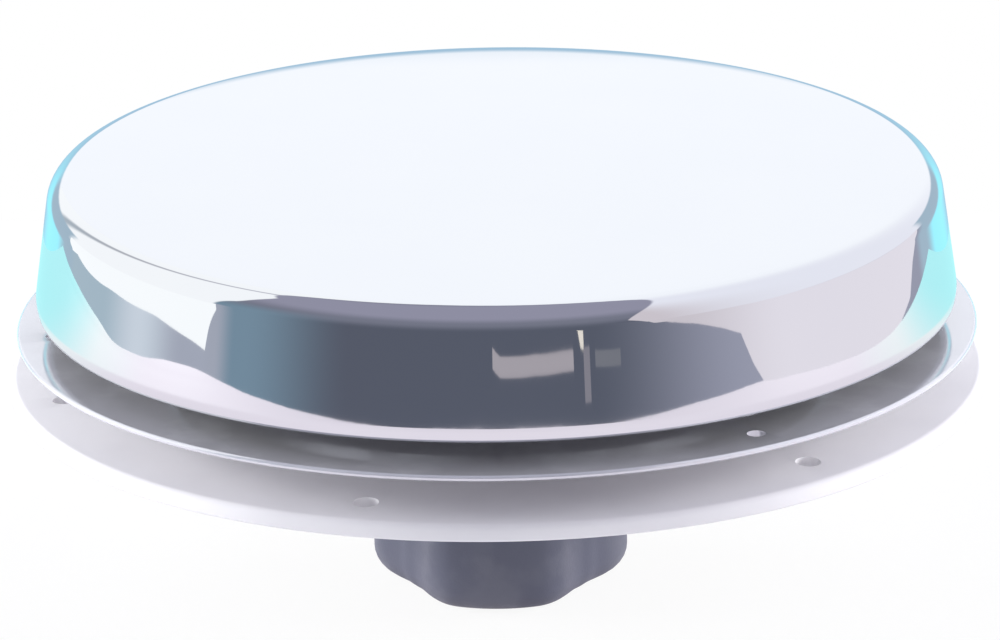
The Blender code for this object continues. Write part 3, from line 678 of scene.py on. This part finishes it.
def make_spider():
    """Cast carrier: ring, hub and three arms with eased edges."""
    outer, hub_low, hub_top = reach("spider")
    low, high = SPIDER_RING
    carrier = lathed("carrier_spider", band(RING_BORE, outer, low, high, 0.0006, 0.0004), 3, 96)
    hub = lathed("carrier_hub", band(0, HUB_RADIUS, hub_low, hub_top, 0, 0.0008), 3, 48, closed=False)
    span = (RING_BORE + outer) / 2
    for angle, (x, y) in zip(ARM_ANGLES, around(span / 2, ARM_ANGLES)):
        size = (span, ARM_WIDTH, high - low - ARM_EASE)
        arm = block(size, (x, y, (low + high) / 2), math.radians(angle))
        ease_edges(arm, ARM_EASE)
        carve(hub, arm, "UNION")
    carve(carrier, hub, "UNION")
    bush_top = reach("spindle_bush")[2]
    drill(carrier, [(0, 0)], BUSH_RADIUS + FIT, hub_low - SHEET, bush_top + SHEET, 48)
    drill(carrier, places_of("guide_pin"), PIN_SHANK + FIT, low - SHEET, high + SHEET)
    drill(carrier, places_of("throat_screw"), SCREW_HOLE, low - SHEET, high + SHEET)
    dress(carrier, SATIN, "base", "spider")


def drop_faces(piece, wanted):
    """Delete the faces whose middle is not wanted, then close the cut ends."""
    pick(piece)
    bpy.ops.object.mode_set(mode="EDIT")
    bpy.ops.mesh.select_mode(type="FACE")
    bpy.ops.mesh.select_all(action="DESELECT")
    shape = bmesh.from_edit_mesh(piece.data)
    for face in shape.faces:
        face.select_set(not wanted(face.calc_center_median()))
    bmesh.update_edit_mesh(piece.data)
    bpy.ops.mesh.delete(type="FACE")
    bpy.ops.mesh.select_mode(type="VERT")
    select_mesh()
    bpy.ops.mesh.delete_loose(use_verts=True, use_edges=True, use_faces=False)
    select_mesh()
    bpy.ops.mesh.fill_holes(sides=8)
    close_mesh()


def repeat(piece, count, shift):
    pick(piece)
    row = piece.modifiers.new("row", "ARRAY")
    row.count = count
    row.use_relative_offset = False
    row.use_constant_offset = True
    row.constant_offset_displace = shift
    row.use_merge_vertices = True
    row.merge_threshold = 0.000002
    bpy.ops.object.modifier_apply(modifier=row.name)


def wire(name, start, rise):
    """One period of a woven wire along X, lifted over one crossing and under the next."""
    fresh_start()
    bpy.ops.mesh.primitive_circle_add(vertices=6, radius=WIRE_RADIUS, location=start,
                                      rotation=(0, math.pi / 2, 0))
    bpy.ops.object.transform_apply(location=True, rotation=True, scale=True)
    strand = named(bpy.context.active_object, name)
    open_mesh()
    for lift in (-rise, -rise, rise, rise):
        bpy.ops.mesh.extrude_region_move(TRANSFORM_OT_translate={"value": (MESH_PITCH / 2, 0, lift)})
    bpy.ops.object.mode_set(mode="OBJECT")
    return strand


def woven_wires(outer, level):
    """A square of woven wire: one set of wires, and a turned and mirrored copy across it."""
    rise = WIRE_RADIUS * 1.05 / 2
    count = int(outer / MESH_PITCH) + 1
    corner = -count * MESH_PITCH
    strands = []
    for row in (0, 1):
        lift = rise * (1 - 2 * row)
        strands.append(wire("weft_%d" % row, (corner, corner + row * MESH_PITCH, level + lift), lift))
    for strand in strands:
        repeat(strand, count, (2 * MESH_PITCH, 0, 0))
    weft = joined(strands)
    repeat(weft, count, (0, 2 * MESH_PITCH, 0))
    pick(weft)
    bpy.ops.object.duplicate()
    warp = bpy.context.active_object
    open_mesh()
    bpy.ops.transform.rotate(value=math.pi / 2, orient_axis="Z", center_override=(0, 0, 0))
    bpy.ops.transform.mirror(constraint_axis=(False, False, True), center_override=(0, 0, level))
    close_mesh()
    return named(joined([weft, warp]), "woven_screen")


def make_insect_screen():
    """Woven wire mesh held in a thin rim, with an eye for the hub and grommets for the pins."""
    outer, low, top = reach("insect_screen")
    mesh = woven_wires(outer, (low + top) / 2)
    pins = places_of("guide_pin")
    from_axis_out, from_rim, from_pin = 0.0130, 0.0015, 0.0031

    def in_mesh(spot):
        away = math.hypot(spot.x, spot.y)
        near_pin = min(math.hypot(spot.x - x, spot.y - y) for x, y in pins)
        return from_axis_out < away < outer - from_rim and near_pin > from_pin

    drop_faces(mesh, in_mesh)
    rim = lathed("screen_rim", band(SCREEN_RIM, outer, low, top, 0.0001, 0.0001), 2, 96)
    drill(rim, places_of("throat_screw"), SCREW_HOLE, low - SHEET, top + SHEET)
    eye = lathed("screen_eye", band(*SCREEN_EYE, low, top, 0.0001, 0.0003), 2, 48)
    grommet = lathed("screen_grommet", band(*GROMMET, low, top, 0.0001, 0.0003), 2, 24)
    rings = [copy_to(grommet, "screen_grommet_%d" % (index + 1), pin) for index, pin in enumerate(pins)]
    bpy.data.objects.remove(grommet)
    dress(joined([mesh, rim, eye] + rings), SATIN, "base", "insect_screen")


def make_screen_ring():
    outer, low, top = reach("screen_ring")
    corners = [(RING_BORE, top, 0.0005), (outer, top, 0.0003), (outer, low, 0.0002), (RING_BORE, low, 0.0002)]
    ring = lathed("clamp_ring", corners, 3, 96)
    drill(ring, places_of("throat_screw"), SCREW_HOLE, low - SHEET, top + SHEET)
    dress(ring, SATIN, "base", "screen_ring")


def make_guide_pins():
    nodes = trio("guide_pin")
    low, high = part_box(nodes[0])
    radius = (high[0] - low[0]) / 2
    corners = [(0, high[2], 0), (radius, high[2], 0.0009), (radius, PIN_FOOT, 0.0002)]
    corners += [(PIN_SHANK, PIN_FOOT, 0.0001), (PIN_SHANK, low[2], 0.0002), (0, low[2], 0)]
    pin = lathed(nodes[0] + "_rod", corners, 4, 32, closed=False)
    set_out(pin, nodes, "_rod", "base")


def make_bush_and_washers():
    rim, low, top = reach("spindle_bush")
    step = low + BUSH_FLANGE
    corners = [(SPINDLE_BORE, top, 0.0003), (BUSH_RADIUS, top, 0.0004), (BUSH_RADIUS, step, 0.0001)]
    corners += [(rim, step, 0.0003), (rim, low, 0.0003), (SPINDLE_BORE, low, 0.0003)]
    dress(lathed("flanged_bush", corners, 3, 64), BRASS, "base", "spindle_bush")
    for node in ("upper_washer", "lower_washer"):
        corners = band(SPINDLE_BORE, *reach(node), 0.0001, 0.0003)
        dress(lathed(node + "_ring", corners, 3, 64), BRASS, "knob", node)


def make_dome_boss():
    """Spool that hangs under the crown."""
    rim, low, top = reach("dome_boss")
    corners = [(BOSS_BORE, top, 0.0002), (rim, top, 0.0003), (rim, top - BOSS_RIM, 0.0006)]
    corners += [(BOSS_NECK, top - 2 * BOSS_RIM, 0.0012), (BOSS_NECK, low + 2 * BOSS_RIM, 0.0012)]
    corners += [(BOSS_FOOT, low + BOSS_RIM, 0.0006), (BOSS_FOOT, low, 0.0003), (BOSS_BORE, low, 0.0002)]
    boss = lathed("lift_spool", corners, 4, 64)
    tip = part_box("plate_screw_1")[1][2]
    drill(boss, places_of("plate_screw"), SCREW_HOLE, low - SHEET, tip + FIT)
    dress(boss, SATIN, "dome", "dome_boss")


def make_valve_plate():
    """Disc under the spool with a shallow groove in its top."""
    rim, low, top = reach("valve_plate")
    corners = [(BOSS_BORE, top, 0.0002)] + [(radius, top - deep, 0) for radius, deep in PLATE_GROOVE]
    corners += [(rim, top, 0.0006), (rim, low, 0.0006), (BOSS_BORE, low, 0.0002)]
    plate = lathed("valve_disc", corners, 4, 128)
    drill(plate, places_of("guide_pin"), PIN_RUN, low - SHEET, top + SHEET)
    drill(plate, places_of("plate_screw"), SCREW_HOLE, low - SHEET, top + SHEET)
    dress(plate, SATIN, "dome", "valve_plate")


def make_valve_seal():
    """Rubber ring below the plate, with two lips."""
    rim, low, top = reach("valve_seal")
    inner = rim - SEAL_WIDTH
    side, lip, root, valley = low + 0.0008, 0.0012, 0.0022, low + 0.0004
    corners = [(inner, top, 0.0003), (rim, top, 0.0003), (rim, side, 0.0004), (rim - lip, low, 0.0005)]
    corners += [(rim - root, valley, 0.0003), (inner + root, valley, 0.0003)]
    corners += [(inner + lip, low, 0.0005), (inner, side, 0.0004)]
    dress(lathed("lip_seal", corners, 3, 128), RUBBER, "dome", "valve_seal")


def hexagon(node, spare, low, high):
    """Six-sided bar that lies as the node does, with spare room at its corners; also its corner radius."""
    box_low, box_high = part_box(node)
    wide, deep = box_high[0] - box_low[0], box_high[1] - box_low[1]
    corner = max(wide, deep) / 2 + spare
    bar = rod((0, 0), corner, low, high, 6)
    if deep < wide:
        open_mesh()
        bpy.ops.transform.rotate(value=math.pi / 6, orient_axis="Z", center_override=(0, 0, 0))
        bpy.ops.object.mode_set(mode="OBJECT")
    return bar, corner


def six_sided(name, node):
    """Hexagon bar end with chamfered corners and a bore for the spindle."""
    low, top = reach(node)[1:]
    bar, corner = hexagon(node, 0.0, low, top)
    named(bar, name)
    flat, wide = corner * math.cos(math.pi / 6), corner * 1.02
    corners = [(0, top, 0), (flat, top, 0), (wide, top - NUT_CHAMFER, 0)]
    corners += [(wide, low + NUT_CHAMFER, 0), (flat, low, 0), (0, low, 0)]
    carve(bar, lathed(name + "_chamfer", corners, 4, 64, closed=False), "INTERSECT")
    drill(bar, [(0, 0)], SPINDLE_BORE, low - SHEET, top + SHEET, 48)
    ease_edges(bar, 0.0001, 40, 1)
    return bar


def cross_hole(piece):
    """Drill the hole for the cross pin."""
    low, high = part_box("knob_pin")
    fresh_start()
    bpy.ops.mesh.primitive_cylinder_add(vertices=32, radius=(high[2] - low[2]) / 2 + FIT,
                                        depth=3 * KNOB_NECK_RADIUS, rotation=(0, math.pi / 2, 0),
                                        location=(0, 0, (low[2] + high[2]) / 2))
    carve(piece, bpy.context.active_object)


def make_nut_and_insert():
    dress(six_sided("lift_hexagon", "lift_nut"), BRASS, "dome", "lift_nut")
    insert = six_sided("knob_core", "knob_insert")
    cross_hole(insert)
    dress(insert, BRASS, "knob", "knob_insert")


def make_spindle():
    """Screw spindle: coarse thread above the shoulder, plain journal and clip groove below."""
    shoulder, low, tip = reach("spindle")
    stop_low, stop_top = SPINDLE_STOP
    clip_low, clip_top = reach("spindle_clip")[1:]
    groove_low, groove_top = clip_low - FIT, clip_top + FIT
    corners = [(0, tip, 0), (THREAD_ROOT, tip, 0.0006), (THREAD_ROOT, stop_top, 0.0003)]
    corners += [(shoulder, stop_top, 0.0004), (shoulder, stop_low, 0.0003)]
    corners += [(SPINDLE_RADIUS, stop_low, 0.0002), (SPINDLE_RADIUS, groove_top, 0.0001)]
    corners += [(CLIP_GROOVE, groove_top, 0.0001), (CLIP_GROOVE, groove_low, 0.0001)]
    corners += [(SPINDLE_RADIUS, groove_low, 0.0001), (SPINDLE_RADIUS, low, 0.0005), (0, low, 0)]
    shaft = lathed("screw_spindle", corners, 3, 48, closed=False)
    cross_hole(shaft)
    start, foot = stop_top + 0.0008, THREAD_ROOT - 0.0002
    tooth = [(foot, 0), (SPINDLE_RADIUS, 0.00045), (SPINDLE_RADIUS, 0.00120), (foot, 0.00165)]
    ridge = drawn("thread_ridge", [(radius, 0, start + rise) for radius, rise in tooth])
    bpy.ops.object.mode_set(mode="OBJECT")
    helix = ridge.modifiers.new("helix", "SCREW")
    helix.axis = "Z"
    helix.screw_offset = THREAD_LEAD
    helix.iterations = int((tip - start - 0.0020) / THREAD_LEAD)
    helix.steps = THREAD_STEPS
    helix.render_steps = THREAD_STEPS
    bpy.ops.object.modifier_apply(modifier=helix.name)
    open_mesh()
    close_mesh()
    dress(joined([shaft, ridge]), SATIN, "knob", "spindle")


def make_clip_and_pin():
    """Open clip in the spindle's groove, and the rolled cross pin with its slit."""
    rim, low, top = reach("spindle_clip")
    clip = lathed("open_clip", band(CLIP_GROOVE + FIT, rim, low, top, 0.0001, 0.0003), 2, 64)
    carve(clip, block((CLIP_MOUTH, rim * 2, 0.004), (0, -rim, (low + top) / 2)))
    ease_edges(clip, 0.00015, 50, 1)
    dress(clip, SATIN, "knob", "spindle_clip")
    low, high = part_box("knob_pin")
    radius, half = (high[2] - low[2]) / 2, high[0]
    bore, end, lead = 0.0008, radius - 0.0003, half - 0.0006
    corners = [(bore, half, 0.0001), (end, half, 0.0001), (radius, lead, 0.0002)]
    corners += [(radius, -lead, 0.0002), (end, -half, 0.0001), (bore, -half, 0.0001)]
    pin = lathed("rolled_pin", corners, 2, 32)
    carve(pin, block((0.003, 0.0004, 3 * half), (0.0015, 0, 0)))
    pick(pin)
    open_mesh()
    bpy.ops.transform.rotate(value=math.pi / 2, orient_axis="Y", center_override=(0, 0, 0))
    bpy.ops.transform.translate(value=(0, 0, (low[2] + high[2]) / 2))
    bpy.ops.object.mode_set(mode="OBJECT")
    dress(pin, SATIN, "knob", "knob_pin")


def lobe_share(angle):
    """Share of the knob's full radius at an angle: broad lobes with wide round flutes between them."""
    spacing = 2 * math.pi / KNOB_LOBES
    aside = abs((angle - KNOB_TURN + spacing / 2) % spacing - spacing / 2)
    climb = (KNOB_FLUTE_EDGE - aside) / (KNOB_FLUTE_EDGE - KNOB_LOBE_EDGE)
    climb = min(max(climb, 0.0), 1.0)
    swell = climb * climb * (3 - 2 * climb)
    return (KNOB_VALLEY + (KNOB_RADIUS - KNOB_VALLEY) * swell) / KNOB_RADIUS


def select_points(piece, wanted):
    bpy.ops.mesh.select_all(action="DESELECT")
    shape = bmesh.from_edit_mesh(piece.data)
    for point in shape.verts:
        point.select_set(wanted(point.co))
    shape.select_flush_mode()
    bmesh.update_edit_mesh(piece.data)


def lobed_circle():
    """A circle of points drawn in to the outline of the lobes; leaves it in edit mode."""
    fresh_start()
    bpy.ops.mesh.primitive_circle_add(vertices=KNOB_POINTS, radius=KNOB_RADIUS, location=(0, 0, 0))
    grip = named(bpy.context.active_object, "lobed_grip")
    bpy.ops.object.mode_set(mode="EDIT")
    bpy.ops.mesh.select_mode(type="VERT")
    shares = sorted({round(lobe_share(2 * math.pi * index / KNOB_POINTS), 6) for index in range(KNOB_POINTS)})
    for share in shares:
        def on_this_depth(spot):
            same = abs(lobe_share(math.atan2(spot.y, spot.x)) - share) < 0.00002
            return same and math.hypot(spot.x, spot.y) > KNOB_RADIUS - 0.000001
        select_points(grip, on_this_depth)
        bpy.ops.transform.resize(value=(share, share, 1), center_override=(0, 0, 0))
    return grip


def make_hand_knob():
    """Lobed grip drawn up ring by ring from a shaped circle, with a neck and a dished foot."""
    bottom, neck_top = reach("hand_knob")[1:]
    grip = lobed_circle()
    side = KNOB_RADIUS - KNOB_ROUND
    rings = [(0.0100, KNOB_BODY_TOP), (0.0160, KNOB_BODY_TOP)]
    rings += arc((side, KNOB_BODY_TOP - KNOB_ROUND), KNOB_ROUND, 90, 0, 7)
    rings += arc((side, bottom + KNOB_ROUND), KNOB_ROUND, 0, -90, 7)
    rings += [(radius, bottom + rise) for radius, rise in KNOB_FOOT]
    select_mesh()
    scale = rings[0][0] / KNOB_RADIUS
    bpy.ops.transform.resize(value=(scale, scale, 1), center_override=(0, 0, 0))
    bpy.ops.transform.translate(value=(0, 0, rings[0][1]))
    bpy.ops.mesh.edge_face_add()
    bpy.ops.mesh.select_mode(type="EDGE")
    select_mesh()
    for here, there in zip(rings, rings[1:]):
        bpy.ops.mesh.extrude_edges_move(TRANSFORM_OT_translate={"value": (0, 0, there[1] - here[1])})
        scale = there[0] / here[0]
        bpy.ops.transform.resize(value=(scale, scale, 1), center_override=(0, 0, there[1]))
    bpy.ops.mesh.edge_face_add()
    close_mesh()
    neck, skirt, sunk = KNOB_NECK_RADIUS, KNOB_NECK_RADIUS + 0.0030, KNOB_BODY_TOP - 0.002
    corners = [(0, neck_top, 0), (neck, neck_top, 0.0005), (neck, KNOB_BODY_TOP, 0.0012)]
    corners += [(skirt, KNOB_BODY_TOP, 0), (skirt, sunk, 0), (0, sunk, 0)]
    carve(grip, lathed("grip_neck", corners, 4, 64, closed=False), "UNION")
    pocket_low = reach("knob_insert")[1] - FIT
    carve(grip, hexagon("knob_insert", 2 * FIT, pocket_low, pocket_low + KNOB_POCKET)[0])
    cross_hole(grip)
    dress(grip, BLACK, "knob", "hand_knob")


def panel_spot(desk, direction, facing):
    """Where a direction meets a flat light panel off to one side: across, up, and whether ahead."""
    turn = math.radians(facing)
    ahead = desk.along(direction, (math.sin(turn), -math.cos(turn), 0))
    across = desk.sum("DIVIDE", desk.along(direction, (math.cos(turn), math.sin(turn), 0)), ahead)
    above = desk.sum("DIVIDE", desk.along(direction, (0, 0, 1)), ahead)
    return across, above, desk.sum("GREATER_THAN", ahead, 0.001)


def left_panel(desk, direction):
    """Tall panel with one round corner and a dark seam towards the back."""
    across, above, ahead = panel_spot(desk, direction, LEFT_FACING)
    corner = []
    for value, start, size in ((across, -0.03, 0.87), (above, 0.77, 1.06)):
        over = desk.sum("MAXIMUM", desk.sum("DIVIDE", desk.sum("SUBTRACT", value, start), size), 0.0)
        corner.append(desk.sum("POWER", over, 1.5))
    inside = desk.ease(desk.sum("ADD", corner[0], corner[1]), 1.05, 0.97)
    seam = desk.ease(desk.sum("ABSOLUTE", desk.sum("ADD", across, 0.62)), 0.02, 0.15, 0.30, 1.0)
    return desk.times(inside, seam, desk.ease(above, -0.030, -0.004), ahead)


def right_panel(desk, direction):
    """Wide panel with a rounded front end, cut at a slant below; also how far along it lies."""
    across, above, ahead = panel_spot(desk, direction, RIGHT_FACING)
    ends = []
    for value, size in ((desk.sum("MINIMUM", across, 0.0), 4.65), (above, 2.78)):
        ends.append(desk.sum("POWER", desk.sum("ABSOLUTE", desk.sum("DIVIDE", value, size)), 2.0))
    inside = desk.ease(desk.sum("ADD", ends[0], ends[1]), 1.04, 0.96)
    slant = desk.ease(desk.sum("ADD", above, desk.times(across, 0.92)), -2.97, -2.89)
    return desk.times(inside, slant, desk.ease(above, -0.030, -0.004), ahead), across


def make_studio():
    """White surroundings for the camera; two large soft panels and a dim room for the light."""
    world = bpy.data.worlds.new("studio")
    bpy.context.scene.world = world
    world.use_nodes = True
    desk = NodeDesk(world.node_tree)
    desk.tree.nodes.clear()
    direction = desk.node("ShaderNodeTexCoord").outputs["Generated"]
    across, deep, height = desk.node("ShaderNodeSeparateXYZ", {0: direction}).outputs
    bearing = desk.sum("ARCTAN2", across, desk.times(deep, -1.0))
    bearing = desk.times(bearing, 180 / math.pi)
    turned_away = desk.sum("ABSOLUTE", bearing)
    rise = desk.times(desk.sum("ARCSINE", height), 180 / math.pi)
    low = desk.ease(rise, 8, 2)
    room = desk.blend(desk.ease(rise, -2, 30), (0.090, 0.100, 0.134, 1), (0.170, 0.178, 0.230, 1))
    room = desk.blend(desk.ease(rise, 30, 60), room, (0.270, 0.268, 0.350, 1))
    haze = desk.times(desk.ease(rise, 40, 8), desk.ease(bearing, -36, -66))
    room = desk.blend(haze, room, (0.168, 0.250, 0.322, 1))
    room = desk.blend(desk.times(low, desk.ease(bearing, -68, -74)), room, (0.340, 0.365, 0.435, 1))
    room = desk.blend(desk.times(low, desk.ease(bearing, 22, 68)), room, (0.300, 0.310, 0.390, 1))
    mist = desk.ease(desk.sum("ABSOLUTE", desk.sum("ADD", bearing, 100.0)), 16, 0)
    strip = desk.blend(desk.ease(bearing, -86, -112), (0.350, 0.375, 0.450, 1), (0.360, 0.460, 0.530, 1))
    strip = desk.blend(mist, strip, (0.560, 0.620, 0.690, 1))
    room = desk.blend(desk.times(low, desk.ease(bearing, -74, -78)), room, strip)
    room = desk.blend(left_panel(desk, direction), room, (0.885, 0.905, 0.922, 1))
    share, along = right_panel(desk, direction)
    panel = desk.blend(desk.ease(along, -2.6, -0.2), (0.58, 0.535, 0.575, 1), (0.76, 0.77, 0.845, 1))
    panel = desk.blend(desk.ease(along, 0.2, 1.6), panel, (0.868, 0.892, 0.932, 1))
    room = desk.blend(share, room, panel)
    ledge = desk.sum("SUBTRACT", rise, desk.ease(turned_away, 133, 185, -18, 22))
    cool = desk.blend(desk.ease(ledge, -4, 3), (0.330, 0.850, 0.960, 1), (0.340, 0.450, 0.540, 1))
    cool = desk.blend(desk.ease(turned_away, 158, 176), cool, (0.330, 0.500, 0.640, 1))
    room = desk.blend(desk.times(desk.ease(turned_away, 132, 137), desk.ease(rise, 13, 10)), room, cool)
    light = desk.node("ShaderNodeBackground", {"Color": room, "Strength": STUDIO_STRENGTH})
    white = desk.node("ShaderNodeBackground", {"Color": (1, 1, 1, 1), "Strength": 1.0})
    seen = desk.node("ShaderNodeLightPath").outputs["Is Camera Ray"]
    both = desk.node("ShaderNodeMixShader", {0: seen, 1: light.outputs[0], 2: white.outputs[0]})
    desk.node("ShaderNodeOutputWorld", {"Surface": both.outputs[0]})


def make_floor():
    """White table top under the knob with a soft shadow; to the metal it glows with a painted reflection
    tint, lavender near the part and cyan towards its back edge.
    """
    level = cad_box[0][2] - 0.0002
    outline = []
    for side in (TABLE_LEFT, TABLE_RIGHT):
        outline += flowing([(x, y, level) for x, y in side], 3)
    table = drawn("table_top", outline)
    bpy.ops.mesh.edge_face_add()
    close_mesh()
    finish, desk = bare_finish("white_table")
    place = desk.node("ShaderNodeTexCoord").outputs["Object"]
    deep = desk.node("ShaderNodeSeparateXYZ", {0: place}).outputs["Y"]
    tone = desk.blend(desk.speckle(place, 6, 2.0), (0.86, 0.86, 0.87, 1), (0.89, 0.89, 0.90, 1))
    matt = desk.node("ShaderNodeBsdfDiffuse", {"Color": tone})
    # Painted reflection: an emitted tint, lavender near the part, then pale, then cyan towards the back edge,
    # that only glossy and transmission rays see
    painted_reflection_tint = desk.blend(desk.ease(deep, -0.03, 0.13), (0.895, 0.825, 0.920, 1), (0.920, 1.0, 1.0, 1))
    painted_reflection_tint = desk.blend(desk.ease(deep, 0.10, 0.21), painted_reflection_tint, (0.34, 0.98, 1.0, 1))
    path = desk.node("ShaderNodeLightPath").outputs
    # The camera sees plain white here; the painted reflection tint shows only in the metal
    painted_reflection_tint = desk.blend(path["Is Camera Ray"], painted_reflection_tint, (1, 1, 1, 1))
    glow = desk.node("ShaderNodeEmission", {"Color": painted_reflection_tint, "Strength": 1.0})
    # The metal sees mostly the painted reflection glow, the camera mostly plain white over a faint real
    # shadow
    mirrored = desk.sum("MAXIMUM", path["Is Glossy Ray"], path["Is Transmission Ray"])
    share = desk.sum("MAXIMUM", desk.times(path["Is Camera Ray"], 0.92),
                     desk.times(mirrored, 0.80))
    both = desk.node("ShaderNodeMixShader", {0: share, 1: matt.outputs[0], 2: glow.outputs[0]})
    desk.node("ShaderNodeOutputMaterial", {"Surface": both.outputs[0]})
    table.data.materials.append(finish)


def make_card(name, line, tall, colour, front=None):
    """Low reflector card at the edge of the table, out of the camera's sight.

    Its front end may have a tone of its own.
    """
    level = cad_box[0][2]
    card = drawn(name, [(x, y, level + height) for x, y, height in line])
    bpy.ops.mesh.extrude_edges_move(TRANSFORM_OT_translate={"value": (0, 0, tall)})
    bpy.ops.object.mode_set(mode="OBJECT")
    finish, desk = bare_finish(name)
    if front:
        place = desk.node("ShaderNodeTexCoord").outputs["Object"]
        deep = desk.node("ShaderNodeSeparateXYZ", {0: place}).outputs["Y"]
        colour = desk.blend(desk.ease(deep, -0.66, -0.18), front, colour)
    glow = desk.node("ShaderNodeEmission", {"Color": colour, "Strength": STUDIO_STRENGTH})
    desk.node("ShaderNodeOutputMaterial", {"Surface": glow.outputs[0]})
    card.data.materials.append(finish)
    card.visible_camera = False
    card.visible_shadow = False


def make_lamp(name, place, width, depth, power):
    """Soft lamp aimed at the part; it lights the matt surfaces, the metal shows the panels instead."""
    lamp = bpy.data.lights.new(name, "AREA")
    lamp.shape = "RECTANGLE"
    lamp.size = width
    lamp.size_y = depth
    lamp.energy = power
    stand = bpy.data.objects.new(name, lamp)
    bpy.context.scene.collection.objects.link(stand)
    stand.location = place
    stand.rotation_euler = (Vector((0, 0, 0.01)) - Vector(place)).to_track_quat("-Z", "Y").to_euler()
    stand.visible_glossy = False


def make_camera():
    """Long lens from the front, eighteen degrees above the deck, rolled a little."""
    focus = Vector((0, 0, 0.020))
    ahead = Vector((0, math.cos(CAMERA_RISE), -math.sin(CAMERA_RISE)))
    right = Vector((1, 0, 0))
    up = right.cross(ahead)
    stand = focus - ahead * CAMERA_AWAY
    aim = focus + right * CAMERA_SHIFT[0] + up * CAMERA_SHIFT[1]
    ahead = (aim - stand).normalized()
    right = ahead.cross(Vector((0, 0, 1))).normalized()
    up = right.cross(ahead)
    level_right = right * math.cos(CAMERA_ROLL) - up * math.sin(CAMERA_ROLL)
    level_up = right * math.sin(CAMERA_ROLL) + up * math.cos(CAMERA_ROLL)
    lens = bpy.data.cameras.new("long_lens")
    lens.lens = CAMERA_LENS
    lens.sensor_width = 36
    lens.clip_start = 0.01
    lens.clip_end = 50
    camera = bpy.data.objects.new("front_camera", lens)
    bpy.context.scene.collection.objects.link(camera)
    turn = Matrix((level_right, level_up, -ahead)).transposed().to_4x4()
    camera.matrix_world = Matrix.Translation(stand) @ turn
    bpy.context.scene.camera = camera


make_camera()
make_dome_cover()
make_water_tray()
make_deck_flange()
make_throat_sleeve()
make_screws("tray_screw", "base", False)
make_screws("throat_screw", "base", False)
make_screws("plate_screw", "dome", True)
make_spider()
make_insect_screen()
make_screen_ring()
make_guide_pins()
make_bush_and_washers()
make_dome_boss()
make_valve_plate()
make_valve_seal()
make_nut_and_insert()
make_spindle()
make_clip_and_pin()
make_hand_knob()
make_studio()
make_floor()
make_card("left_card", flowing(LEFT_CARD) + flowing(LEFT_CORNER)[1:], 0.10, (0.92, 0.945, 0.955, 1))
make_card("right_card", flowing(RIGHT_CARD) + flowing(RIGHT_CORNER, 1)[1:], 0.08, (0.73, 0.70, 0.76, 1),
          (0.57, 0.53, 0.57, 1))
make_card("window_pane", WINDOW_PANE, 0.0064, (0.36, 0.335, 0.365, 1))
make_card("window_glint", WINDOW_GLINT, 0.0060, (0.74, 0.69, 0.62, 1))
make_card("window_post", WINDOW_POST, 0.0165, (0.215, 0.208, 0.242, 1))
make_card("far_pane", FAR_PANE, 0.0050, (0.168, 0.174, 0.202, 1))
make_lamp("front_lamp", (0, -1.9, 0.20), 1.2, 0.3, 6)
make_lamp("left_lamp", (-1.0, 0.14, 0.24), 0.6, 0.3, 13)
make_lamp("right_lamp", (1.0, 0.18, 0.24), 0.6, 0.3, 11)
bpy.context.scene.view_settings.view_transform = "Standard"
